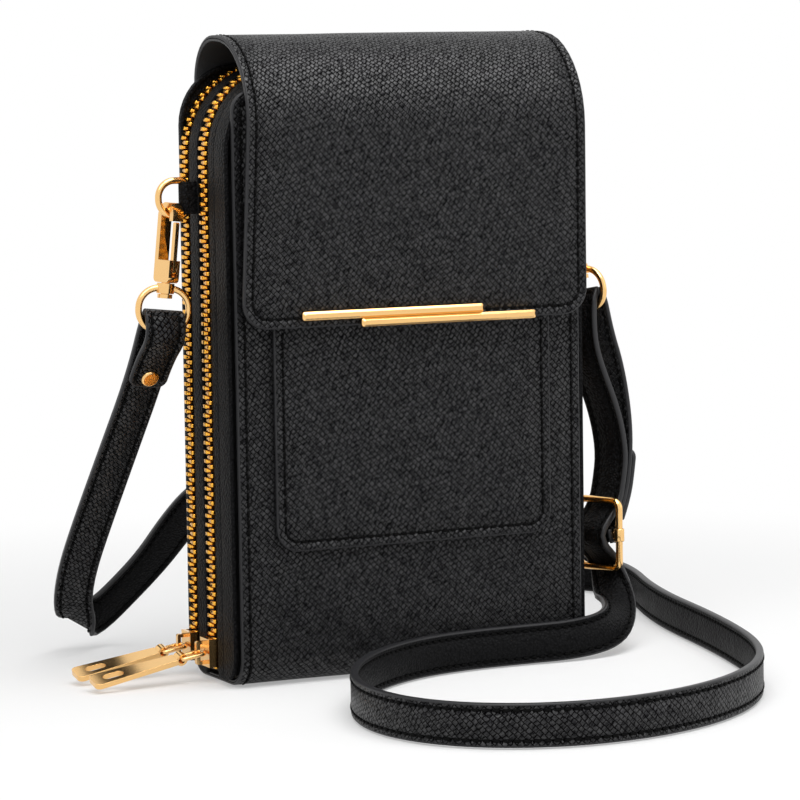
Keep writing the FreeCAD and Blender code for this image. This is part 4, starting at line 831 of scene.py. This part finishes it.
def row_of(bm, count, pitch):
    """Repeats a shape along y."""
    made = 1
    while made < count:
        moved = verts_of(bmesh.ops.duplicate(bm, geom=bm.verts[:] + bm.edges[:] + bm.faces[:]))
        bmesh.ops.translate(bm, vec=(0, made * pitch, 0), verts=moved)
        made *= 2
    surplus = [vert for vert in bm.verts if vert.co.y > count * pitch]
    bmesh.ops.delete(bm, geom=surplus, context="VERTS")


def stitches(line):
    """A row of stitches of thread along a line."""
    leather = pouch().leather
    segments_round = 6
    segments_along = 5
    count = max(1, round(line.length / leather.stitch_pitch))
    pitch = line.length / count
    half_thread = leather.thread_width / 2
    shape = Matrix.Diagonal((half_thread, leather.stitch_length / 2, half_thread, 1))
    lying = shape @ Matrix.Rotation(QUARTER_TURN, 4, "X")
    bm = bmesh.new()
    bmesh.ops.create_uvsphere(
        bm, u_segments=segments_round, v_segments=segments_along, radius=1, matrix=lying
    )
    bmesh.ops.translate(bm, vec=(0, pitch / 2, 0), verts=bm.verts[:])
    for face in bm.faces:
        face.material_index = THREAD
    row_of(bm, count, pitch)
    fold(bm, line)
    return bm


def lay_uv(bm):
    """Keeps the flat cut as the UV map, in metres."""
    layer = bm.loops.layers.uv.new(UV_NAME)
    for face in bm.faces:
        for corner in face.loops:
            flat = corner.vert.co
            corner[layer].uv = (flat.x + flat.z, flat.y)


def soften(bm, offset):
    """Lets a flat blank swell and sag a little; the offset keeps two pieces from swelling alike."""
    leather = pouch().leather
    for vert in bm.verts:
        spot = Vector((vert.co.x, vert.co.y, offset)) / leather.softness_width
        vert.co.z += leather.softness * noise.noise(spot)


def fold(bm, course):
    """Folds a flat blank along its course."""
    for vert in bm.verts:
        vert.co = course.frame(vert.co.y) @ Vector((vert.co.x, 0, vert.co.z))


def folded(bm, course, step):
    """A blank cut at the bends of its course and folded along it, with its flat cut kept."""
    cut_through(bm, course.stations(step))
    lay_uv(bm)
    fold(bm, course)
    return bm


def mesh_of(name, bm):
    """A mesh of a bmesh, which is freed."""
    mesh = bpy.data.meshes.new(name)
    bm.to_mesh(mesh)
    bm.free()
    return mesh


def joined(parts):
    """One bmesh of several."""
    whole = bmesh.new()
    for part in parts:
        mesh = mesh_of("part", part)
        whole.from_mesh(mesh)
        bpy.data.meshes.remove(mesh)
    return whole


def show(name, bm, materials):
    """Makes an object of a bmesh, smooth but for its sharp edges."""
    mesh = mesh_of(name, bm)
    mesh.shade_smooth()
    mesh.set_sharp_from_angle(angle=SHARP_TURN)
    for look in materials:
        mesh.materials.append(look)
    shown = bpy.data.objects.new(name, mesh)
    bpy.context.scene.collection.objects.link(shown)
    return shown


def new_piece(name, bm, finishes, body, nodes):
    """Makes a piece of a bmesh; it rides on a body and stands for CAD nodes."""
    piece = show(name, bm, [material(finish) for finish in finishes])
    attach(piece, body)
    if nodes:
        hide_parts(*nodes)
    return piece


def finish_node(name, finish):
    """Gives a CAD node its finish."""
    node = frame["nodes"][name]
    for slot in node.material_slots:
        slot.link = "OBJECT"
        slot.material = material(finish)
    return node


def stitch_round(bm, half, course, columns, start_radius, end_radius):
    """A blank cut so that it can bend, with a row of stitches all round it."""
    leather = pouch().leather
    cut_through(bm, course.stations(PANEL_STEP), half, columns)
    height = leather.thread_width / 2 - leather.seam_depth
    seam = seam_ring(half, course.length, leather.seam_inset, start_radius, end_radius, height)
    bm = joined([bm, stitches(seam)])
    lay_uv(bm)
    return bm


def sewn_panel(half, course, thickness, start_radius, end_radius, offset):
    """A flat panel of embossed leather with a seam all round it, ready to fold along its course."""
    leather = pouch().leather
    columns = 12
    rounding = leather.rounding
    bm = cut_blank(half, course.length, thickness, rounding, (start_radius,) * 2, (end_radius,) * 2)
    part_layers(bm, -thickness / 2, leather.layer_gap, leather.layer_gap)
    press_seam(bm, 1, leather.seam_inset - rounding)
    bm = stitch_round(bm, half, course, columns, start_radius, end_radius)
    soften(bm, offset)
    return bm


class POUCH_OT_stage(bpy.types.Operator):
    """Sets the floor, the light and the camera of the photograph"""

    bl_idname = "pouch.stage"
    bl_label = "Stage"

    def execute(self, context):
        stage = context.scene.pouch.stage
        context.scene.view_settings.view_transform = "Standard"
        self.lay_floor(stage)
        self.light_sky(context, stage)
        for name in ("key", "fill", "top"):
            self.hang_lamp(context, stage, name)
        self.set_camera(context, stage)
        return {"FINISHED"}

    def lay_floor(self, stage):
        """A sweep of white paper, with the shadow near the pouch and plain white away from it."""
        made, tree, _ = new_material("White paper", stage.floor, roughness=0.9)
        sweep_segments = 12
        spot = add_node(tree, "TexCoord")["Object"]
        far = add_node(tree, "VectorMath", {"operation": "LENGTH"}, {0: spot})
        fade = add_node(
            tree,
            "MapRange",
            {
                "interpolation_type": "SMOOTHSTEP",
                "From Min": stage.shadow_start,
                "From Max": stage.shadow_end,
                "To Min": stage.glow_share,
            },
            {"Value": far["Value"]},
        )
        white = add_node(tree, "Emission", {"Strength": 1})
        paper = tree.nodes["Principled BSDF"].outputs["BSDF"]
        add_node(
            tree,
            "MixShader",
            links={0: fade["Result"], 1: paper, 2: white["Emission"]},
            feeds={"Shader": tree.nodes["Material Output"].inputs["Surface"]},
        )
        bm = rectangle(stage.floor_reach, stage.floor_reach, (0, 0, -stage.floor_drop))
        back = max(bm.edges, key=lambda edge: sum(vert.co.y for vert in edge.verts))
        raised = verts_of(bmesh.ops.extrude_edge_only(bm, edges=[back]))
        bmesh.ops.translate(bm, vec=(0, 0, stage.floor_reach), verts=raised)
        bevel(bm, [back], stage.sweep_radius, sweep_segments)
        sweep = show("paper_sweep", bm, [made])

    def light_sky(self, context, stage):
        """A room that lights the pouch as an even grey, and that the camera and the metal see as white."""
        world = bpy.data.worlds.new("White studio")
        world.use_nodes = True
        context.scene.world = world
        tree = world.node_tree
        room = tree.nodes["Background"].inputs
        room["Color"].default_value = (1, 1, 1, 1)
        ray = add_node(tree, "LightPath")
        seen = ray["Is Camera Ray"]
        for kind in ("Is Glossy Ray", "Is Transmission Ray"):
            either = add_node(tree, "Math", {"operation": "MAXIMUM"}, {0: seen, 1: ray[kind]})
            seen = either["Value"]
        levels = {"To Min": stage.sky_level, "To Max": 1}
        add_node(tree, "MapRange", levels, {"Value": seen}, {"Result": room["Strength"]})

    def hang_lamp(self, context, stage, name):
        """A square soft box that faces the pouch."""
        lamp = bpy.data.lights.new(f"{name} light", "AREA")
        lamp.energy = getattr(stage, f"{name}_power")
        lamp.size = getattr(stage, f"{name}_width")
        hung = bpy.data.objects.new(f"{name} light", lamp)
        hung.location = getattr(stage, f"{name}_place")
        aim = Z_WAY * stage.aim_height - hung.location
        hung.rotation_euler = aim.to_track_quat("-Z", "Y").to_euler()
        context.scene.collection.objects.link(hung)

    def set_camera(self, context, stage):
        """The camera of the photograph, by its place, yaw, pitch, roll and lens."""
        camera = bpy.data.cameras.new("photograph camera")
        camera.lens = stage.lens
        camera.sensor_width = stage.sensor
        view = bpy.data.objects.new("photograph camera", camera)
        upright = Matrix.Rotation(QUARTER_TURN - stage.camera_pitch, 4, "X")
        turned = Matrix.Rotation(-stage.camera_yaw, 4, "Z") @ upright
        rolled = turned @ Matrix.Rotation(stage.camera_roll, 4, "Z")
        view.matrix_world = Matrix.Translation(stage.camera_place) @ rolled
        context.scene.collection.objects.link(view)
        context.scene.camera = view


class POUCH_OT_strap(bpy.types.Operator):
    """Makes the strap, its riveted left end, its thinned right end and its sewn tip"""

    bl_idname = "pouch.strap"
    bl_label = "Strap"

    def execute(self, context):
        strap = context.scene.pouch.strap
        course = self.course("strap line", STRAP_ROUTE)
        band = self.band("strap_leather", course, strap.thickness, ["strap"])
        thin = strap.end_thickness
        corner = strap.corner_radius
        patch_course = self.course("patch line", PATCH_ROUTE)
        patch = self.band("strap_end_leather", patch_course, thin, ["strap_end_patch"], corner)
        tail = self.band("strap_tail_leather", self.course("tail line", TAIL_ROUTE), thin, ["strap_tail"])
        tip = self.band("strap_tip_leather", self.course("tip line", TAIL_TIP_ROUTE), thin, [], corner)
        return {"FINISHED"}

    def spline_points(self, name, points):
        """Points along a smooth spline whose control points are given in millimetres."""
        curve = bpy.data.curves.new(name, "CURVE")
        curve.dimensions = "3D"
        curve.resolution_u = pouch().strap.spline_steps
        spline = curve.splines.new("NURBS")
        spline.points.add(len(points) - 1)
        for control, point in zip(spline.points, points):
            control.co = (*(Vector(point) * MM), 1)
        spline.order_u = 3
        spline.use_endpoint_u = True
        line = bpy.data.objects.new(name, curve)
        bpy.context.scene.collection.objects.link(line)
        mesh = bpy.data.meshes.new_from_object(line)
        found = [vert.co.copy() for vert in mesh.vertices]
        bpy.data.meshes.remove(mesh)
        bpy.data.objects.remove(line)
        bpy.data.curves.remove(curve)
        return found

    def course(self, name, route):
        """The course of a band: its middle line, and the way across from a second line along one edge."""
        half = pouch().strap.width / 2 / MM
        middle = self.spline_points(name, [point for point, way in route])
        edge_route = [Vector(point) + Vector(way).normalized() * half for point, way in route]
        edge = self.spline_points(name, edge_route)
        return Course(middle, [outer - inner for inner, outer in zip(middle, edge)])

    def band(self, name, course, thickness, nodes, end_radius=0):
        """A flat band with rounded edges and a seam near each edge on both faces."""
        strap = pouch().strap
        leather = pouch().leather
        bm = cut_blank(
            strap.width / 2, course.length, thickness, strap.rounding, end_radii=(end_radius,) * 2
        )
        for side in (1, -1):
            press_seam(bm, side, strap.seam_inset - strap.rounding)
        if end_radius:
            cut_through(bm, course.stations(strap.section_step))
        else:
            long_edges = [
                edge for edge in bm.edges
                if abs((edge.verts[0].co - edge.verts[1].co).normalized().dot(Y_WAY)) > ALONG_SHARE
                and edge.calc_length() > course.length / 2
            ]
            cuts = round(course.length / strap.section_step)
            bmesh.ops.subdivide_edges(bm, edges=long_edges, cuts=cuts, use_grid_fill=True)
        sunk = leather.thread_width / 2 - leather.seam_depth
        line = strap.width / 2 - strap.seam_inset
        seams = []
        for x in (-line, line):
            for height in (sunk, -thickness - sunk):
                ends = [Vector((x, y, height)) for y in (strap.seam_inset, course.length - strap.seam_inset)]
                seams.append(stitches(Course(ends, [Z_WAY, Z_WAY])))
        bm = joined([bm, *seams])
        lay_uv(bm)
        bmesh.ops.translate(bm, vec=(0, 0, thickness / 2), verts=bm.verts[:])
        fold(bm, course)
        return new_piece(name, bm, STRAP_FINISHES, "pouch", nodes)


class POUCH_OT_shell(bpy.types.Operator):
    """Makes the front, base and back of the pouch from one folded sheet"""

    bl_idname = "pouch.shell"
    bl_label = "Shell"

    def execute(self, context):
        low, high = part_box("wrap_panel")
        thickness = 1.6 * MM
        fold_radius = 9 * MM
        back_corners = 11 * MM
        front_corners = 6 * MM
        front_top = 174 * MM
        course = level_course(
            [
                ((0, high.y, high.z), 0),
                ((0, high.y, low.z), fold_radius),
                ((0, low.y, low.z), fold_radius),
                ((0, low.y, front_top), 0),
            ],
            X_WAY,
        )
        bm = sewn_panel(high.x, course, thickness, back_corners, front_corners, offset=0)
        fold(bm, course)
        new_piece("shell_leather", bm, PANEL_FINISHES, "pouch", ["wrap_panel"])
        return {"FINISHED"}


class POUCH_OT_card_pocket(bpy.types.Operator):
    """Makes the card pocket sewn on the front"""

    bl_idname = "pouch.card_pocket"
    bl_label = "Card pocket"

    def execute(self, context):
        leather = context.scene.pouch.leather
        low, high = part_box("card_pocket")
        skin = 1.2 * MM
        slot = high.y - low.y - skin
        corner_radius = 7 * MM
        margin = 3 * MM
        columns = 10
        course = level_course([((0, low.y, low.z), 0), ((0, low.y, high.z), 0)], X_WAY)
        bm = cut_blank(high.x, course.length, skin, leather.rounding, (corner_radius,) * 2)
        press_seam(bm, 1, leather.seam_inset - leather.rounding)
        ring = inset_face(bm, face_of(bm, -1), margin)
        turned_edge = [face for face in ring if face.calc_center_median().y < course.length - margin]
        pull_out(bm, turned_edge, (0, 0, -slot))
        bm = stitch_round(bm, high.x, course, columns, corner_radius, 0)
        fold(bm, course)
        new_piece("pocket_leather", bm, PANEL_FINISHES, "pouch", ["card_pocket"])
        return {"FINISHED"}


class POUCH_OT_flap(bpy.types.Operator):
    """Makes the lined flap that folds over the top and the front"""

    bl_idname = "pouch.flap"
    bl_label = "Flap"

    def execute(self, context):
        low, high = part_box("flap_outer")
        thickness = 1.8 * MM
        corner_radius = 8 * MM
        front_fold = 28 * MM
        back_fold = 14 * MM
        fold_start = 172.3 * MM
        course = level_course(
            [
                ((0, low.y, low.z), 0),
                ((0, low.y, high.z), front_fold),
                ((0, high.y, high.z), back_fold),
                ((0, high.y, fold_start), 0),
            ],
            X_WAY,
        )
        bm = sewn_panel(high.x, course, thickness, corner_radius, 0, offset=1)
        self.draw_edges_in(bm, course.length, high.x)
        fold(bm, course)
        nodes = ["flap_outer", "flap_lining"]
        new_piece("flap_leather", bm, PANEL_FINISHES, "flap", nodes)
        return {"FINISHED"}

    def draw_edges_in(self, bm, flap_length, half):
        """Draws the edges in where the leather bends over the ridge, the left one sooner."""
        draw_in = 4.2 * MM
        ridge_share = 0.7
        ridge = ridge_share * flap_length
        for vert in bm.verts:
            left_share = min(vert.co.y / ridge, 1)
            right_share = max((vert.co.y - ridge) / (flap_length - ridge), 0)
            share = left_share if vert.co.x < 0 else right_share
            vert.co.x *= 1 - share * draw_in / half


def body_course(inset, foot, depth, radius=BODY_RADIUS):
    """The line up the right side, over the top and down the left, at an inset from the gussets' outside."""
    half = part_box("centre_gusset_band")[1].x - inset
    top = BODY_TOP - inset
    corners = [
        ((half, depth, foot), 0),
        ((half, depth, top), radius - inset),
        ((-half, depth, top), radius - inset),
        ((-half, depth, foot), 0),
    ]
    return level_course(corners, Y_WAY)


def side_band(front, back, inset, foot, thickness, rounding, radius=BODY_RADIUS):
    """A band round the compartments between two depths, at an inset from the gussets' outside."""
    course = body_course(inset, foot, (front + back) / 2, radius)
    return folded(cut_blank((back - front) / 2, course.length, thickness, rounding), course, BAND_STEP)


def upright_sheet(half, depth, foot, top, thickness, rounding, top_radius):
    """A flat sheet across the pouch with two round top corners, its outside to the front."""
    course = level_course([((0, depth, foot), 0), ((0, depth, top), 0)], X_WAY)
    bm = cut_blank(half, course.length, thickness, rounding, end_radii=(top_radius,) * 2)
    lay_uv(bm)
    fold(bm, course)
    return bm


class POUCH_OT_gussets(bpy.types.Operator):
    """Makes the gusset strips beside the zips and the side walls of the phone pocket"""

    bl_idname = "pouch.gussets"
    bl_label = "Gussets"

    thickness = 1.2 * MM
    rounding = 0.35 * MM

    def execute(self, context):
        for node, name in (("front_gusset_band", "front_gusset"), ("centre_gusset_band", "centre_gusset")):
            low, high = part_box(node)
            bm = side_band(low.y, high.y, 0, low.z, self.thickness, self.rounding)
            new_piece(name, bm, GUSSET_FINISHES, "pouch", [node])
        self.close_back()
        for side, across, name in ((-1, -Y_WAY, "left_phone_gusset"), (1, Y_WAY, "right_phone_gusset")):
            bm = self.phone_wall(side, across, name)
            new_piece(f"{name}_leather", bm, GUSSET_FINISHES, "pouch", [name])
        return {"FINISHED"}

    def close_back(self):
        """The strip behind the rear zip and the sheet that closes the corners over the back panel."""
        back_edge = 17.3 * MM
        width = 2.3 * MM
        foot = 9 * MM
        radius = 18 * MM
        bm = side_band(back_edge - width, back_edge, 0, foot, self.thickness, self.rounding, radius)
        new_piece("back_gusset", bm, GUSSET_FINISHES, "pouch", [])
        yoke_foot = 158 * MM
        skin = 1.0 * MM
        inset = 0.4 * MM
        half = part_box("centre_gusset_band")[1].x - inset
        front = back_edge - skin
        bm = upright_sheet(half, front, yoke_foot, BODY_TOP - inset, skin, self.rounding, radius - inset)
        new_piece("back_yoke", bm, TAB_FINISHES, "pouch", [])

    def phone_wall(self, side, across, name):
        """A side wall of the phone pocket, bent in along the round of the top."""
        low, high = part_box(name)
        turn = math.radians(50)
        front_radius = 7.4 * MM
        depth = (low.y + high.y) / 2
        outer = high.x if side > 0 else low.x
        centre = Vector((outer - side * BODY_RADIUS, depth, BODY_TOP - BODY_RADIUS))
        points = [Vector((outer, depth, low.z))]
        steps = math.ceil(turn / ARC_STEP)
        for step in range(steps + 1):
            angle = turn * step / steps
            points.append(centre + BODY_RADIUS * Vector((side * math.cos(angle), 0, math.sin(angle))))
        course = Course(points, [across] * len(points))
        start_radii = (0, front_radius) if side < 0 else (front_radius, 0)
        half = (high.y - low.y) / 2
        bm = cut_blank(half, course.length, self.thickness, self.rounding / 4, start_radii)
        return folded(bm, course, BAND_STEP)


class POUCH_OT_zips(bpy.types.Operator):
    """Makes the woven tapes and the interlocking metal teeth of both zips"""

    bl_idname = "pouch.zips"
    bl_label = "Zips"

    def execute(self, context):
        chain = context.scene.pouch.zip
        for zip_side in ("front", "rear"):
            tape_low, tape_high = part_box(f"{zip_side}_zip_tape")
            teeth_low, teeth_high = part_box(f"{zip_side}_zip_teeth")
            line = (teeth_low.y + teeth_high.y) / 2
            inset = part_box("centre_gusset_band")[1].x - tape_high.x
            half_gap = chain.row_gap / 2
            tapes = [
                side_band(front, back, inset, tape_low.z, chain.tape_thickness, chain.tape_thickness / 4)
                for front, back in ((tape_low.y, line - half_gap), (line + half_gap, tape_high.y))
            ]
            node = f"{zip_side}_zip_tape"
            new_piece(f"{zip_side}_tape", joined(tapes), TAPE_FINISHES, "pouch", [node])
            self.lay_chain(zip_side, line, inset, teeth_low.z)
        return {"FINISHED"}

    def tooth(self):
        """One cast tooth: a block that grips the tape and a narrower nose that locks with its neighbours."""
        chain = pouch().zip
        nose_inset = chain.tooth_length / 6
        bm = bmesh.new()
        bmesh.ops.create_cube(bm, size=1)
        width = chain.block_end - chain.block_start
        height = chain.tooth_high - chain.tooth_low
        bmesh.ops.scale(bm, vec=(width, chain.tooth_length, height), verts=bm.verts[:])
        middle = ((chain.block_start + chain.block_end) / 2, 0, (chain.tooth_low + chain.tooth_high) / 2)
        bmesh.ops.translate(bm, vec=middle, verts=bm.verts[:])
        inner = min(bm.faces, key=lambda face: face.calc_center_median().x)
        inset_face(bm, inner, nose_inset)
        pull_out(bm, [inner], (-chain.block_start - chain.nose_reach, 0, 0))
        round_edges(bm, chain.tooth_bevel, segments=1, clamp=True)
        bmesh.ops.recalc_face_normals(bm, faces=bm.faces[:])
        return mesh_of("tooth", bm)

    def lay_chain(self, zip_side, line, inset, foot):
        """Lays teeth on both tapes, half a pitch apart."""
        chain = pouch().zip
        course = body_course(inset, foot, line)
        tooth = self.tooth()
        bm = bmesh.new()
        about = Matrix.Rotation(HALF_TURN, 4, "Z")
        count = int(2 * course.length / chain.pitch)
        for index in range(count):
            spot = course.frame((index + 1 / 2) * chain.pitch / 2)
            if index % 2:
                spot = spot @ about
            before = len(bm.verts)
            bm.from_mesh(tooth)
            bm.verts.ensure_lookup_table()
            bmesh.ops.transform(bm, matrix=spot, verts=bm.verts[before:])
        bpy.data.meshes.remove(tooth)
        new_piece(f"{zip_side}_chain", bm, [BRASS], "pouch", [f"{zip_side}_zip_teeth"])


class POUCH_OT_pulls(bpy.types.Operator):
    """Makes the cast pull tabs: tapered plates with an oval hole and a barrel round the link"""

    bl_idname = "pouch.pulls"
    bl_label = "Pulls"

    def execute(self, context):
        pull = context.scene.pouch.pull
        places = {joint["name"]: joint["pos_m"] for joint in frame["joints"] if "pos_m" in joint}
        for zip_side in ("front", "rear"):
            link_start = Vector(places[f"{zip_side}_link_swing"])
            link_end = Vector(places[f"{zip_side}_pull_swing"])
            lie = Course([link_end, 2 * link_end - link_start], [Y_WAY, Y_WAY]).frame(0)
            bm = joined([self.plate(), self.barrel()])
            bmesh.ops.transform(bm, matrix=lie @ Matrix.Rotation(-pull.roll, 4, "Y"), verts=bm.verts[:])
            name = f"{zip_side}_pull"
            piece = new_piece(f"{name}_plate", bm, [GOLD], name, [f"{name}_tab"])
            flats = piece.modifiers.new("Flat faces", "WEIGHTED_NORMAL")
            flats.keep_sharp = True
        return {"FINISHED"}

    def plate(self):
        """The tapered plate, along y from the barrel to its tip."""
        pull = pouch().pull
        corner_segments = 6
        hole_segments = 24
        rim_segments = 2
        foot = pull.barrel_bore + pull.barrel_wall / 2
        middle = (foot + pull.tab_length) / 2
        bm = rectangle(pull.neck_width / 2, pull.tab_length - middle, (0, middle, 0))
        tip = [vert for vert in bm.verts if vert.co.y > middle]
        for vert in tip:
            vert.co.x *= pull.tip_width / pull.neck_width
        bevel(bm, tip, pull.tip_radius, corner_segments, "VERTICES")
        bmesh.ops.delete(bm, geom=bm.faces[:], context="FACES_ONLY")
        hole_half = pull.hole_width / 2
        hole = bmesh.ops.create_circle(bm, segments=hole_segments, radius=hole_half)["verts"]
        half_straight = pull.hole_length / 2 - hole_half
        hole_middle = pull.tab_length - pull.hole_inset - pull.hole_length / 2
        for vert in hole:
            vert.co.y += hole_middle + math.copysign(half_straight, vert.co.y)
        bmesh.ops.triangle_fill(bm, use_beauty=True, use_dissolve=False, edges=bm.edges[:])
        bmesh.ops.translate(bm, vec=(0, 0, -pull.thickness / 2), verts=bm.verts[:])
        thicken(bm, pull.thickness)
        round_edges(bm, pull.bevel, rim_segments, clamp=True)
        return bm

    def barrel(self):
        """The barrel round the link, its axis along x."""
        pull = pouch().pull
        turn_steps = 24
        half_wall = pull.barrel_wall / 2
        bm = rectangle(pull.barrel_width / 2, half_wall, (0, pull.barrel_bore + half_wall, 0))
        bmesh.ops.delete(bm, geom=bm.faces[:], context="FACES_ONLY")
        bmesh.ops.spin(
            bm,
            geom=bm.verts[:] + bm.edges[:],
            cent=(0, 0, 0),
            axis=X_WAY,
            angle=2 * HALF_TURN,
            steps=turn_steps,
            use_merge=True,
        )
        bmesh.ops.recalc_face_normals(bm, faces=bm.faces[:])
        return bm


class POUCH_OT_ring_tabs(bpy.types.Operator):
    """Makes the folded leather tabs that carry the D-rings"""

    bl_idname = "pouch.ring_tabs"
    bl_label = "Ring tabs"

    def execute(self, context):
        thickness = 1.0 * MM
        tab_height = 9.4 * MM
        bend_room = 0.02 * MM
        bend_step = 2 * MM
        for side, outwards in (("left", -1), ("right", 1)):
            node = f"{side}_ring_tab"
            low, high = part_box(node)
            inner, outer = (high.x, low.x) if outwards < 0 else (low.x, high.x)
            radius = (high.y - low.y) / 2 - bend_room
            level = (low.z + high.z) / 2
            course = level_course(
                [
                    ((inner, low.y, level), 0),
                    ((outer, low.y, level), radius),
                    ((outer, high.y, level), radius),
                    ((inner, high.y, level), 0),
                ],
                Z_WAY * -outwards,
            )
            bm = cut_blank(tab_height / 2, course.length, thickness, thickness / 4)
            bm = folded(bm, course, bend_step)
            new_piece(f"{side}_tab_leather", bm, TAB_FINISHES, "pouch", [node])
        return {"FINISHED"}


class POUCH_OT_inside(bpy.types.Operator):
    """Makes the lined dividers and gives the base board its finish"""

    bl_idname = "pouch.inside"
    bl_label = "Inside"

    def execute(self, context):
        rounding = 0.3 * MM
        inset = 1.3 * MM
        for node in ("phone_divider", "centre_divider"):
            low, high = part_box(node)
            thickness = high.y - low.y
            top = BODY_TOP - inset
            bm = upright_sheet(high.x, low.y, low.z, top, thickness, rounding, BODY_RADIUS - inset)
            new_piece(f"{node}_cloth", bm, CLOTH_FINISHES, "pouch", [node])
        finish_node("base_board", BOARD)
        return {"FINISHED"}


class POUCH_OT_metal(bpy.types.Operator):
    """Gives the castings, wires and magnets their finish and polished edges"""

    bl_idname = "pouch.metal"
    bl_label = "Metal"

    def execute(self, context):
        metal = context.scene.pouch.metal
        weld_reach = 0.001 * MM
        edge_segments = 3
        for name in GOLD_NODES + STEEL_NODES:
            node = finish_node(name, GOLD if name in GOLD_NODES else STEEL)
            weld = node.modifiers.new("Weld", "WELD")
            weld.merge_threshold = weld_reach
            edges = node.modifiers.new("Polished edges", "BEVEL")
            edges.width = metal.bar_bevel if name in BAR_NODES else metal.bevel
            edges.segments = edge_segments
            edges.use_clamp_overlap = name not in BAR_NODES
            edges.limit_method = "ANGLE"
            edges.angle_limit = SHARP_TURN
            edges.harden_normals = True
        return {"FINISHED"}


class POUCH_PT_panel(bpy.types.Panel):
    """The steps of the pouch and its sizes"""

    bl_idname = "POUCH_PT_panel"
    bl_label = "Phone pouch"
    bl_space_type = "VIEW_3D"
    bl_region_type = "UI"
    bl_category = "Pouch"

    def draw(self, context):
        for step in STEPS:
            self.layout.operator(step.bl_idname)
        for group in ("leather", "strap", "zip", "pull", "metal", "stage"):
            box = self.layout.box()
            settings = getattr(context.scene.pouch, group)
            for name in settings.__annotations__:
                box.prop(settings, name)


STEPS = [
    POUCH_OT_stage,
    POUCH_OT_strap,
    POUCH_OT_shell,
    POUCH_OT_card_pocket,
    POUCH_OT_flap,
    POUCH_OT_gussets,
    POUCH_OT_zips,
    POUCH_OT_pulls,
    POUCH_OT_ring_tabs,
    POUCH_OT_inside,
    POUCH_OT_metal,
]
GROUPS = [
    LeatherSettings, StrapSettings, ZipSettings, PullSettings, MetalSettings, StageSettings, PouchSettings
]


def register():
    for item in GROUPS + STEPS + [POUCH_PT_panel]:
        bpy.utils.register_class(item)
    bpy.types.Scene.pouch = PointerProperty(type=PouchSettings)


def unregister():
    del bpy.types.Scene.pouch
    for item in reversed(GROUPS + STEPS + [POUCH_PT_panel]):
        bpy.utils.unregister_class(item)


def main():
    register()
    for step in STEPS:
        group, name = step.bl_idname.split(".")
        getattr(getattr(bpy.ops, group), name)()


if __name__ == "__main__":
    main()
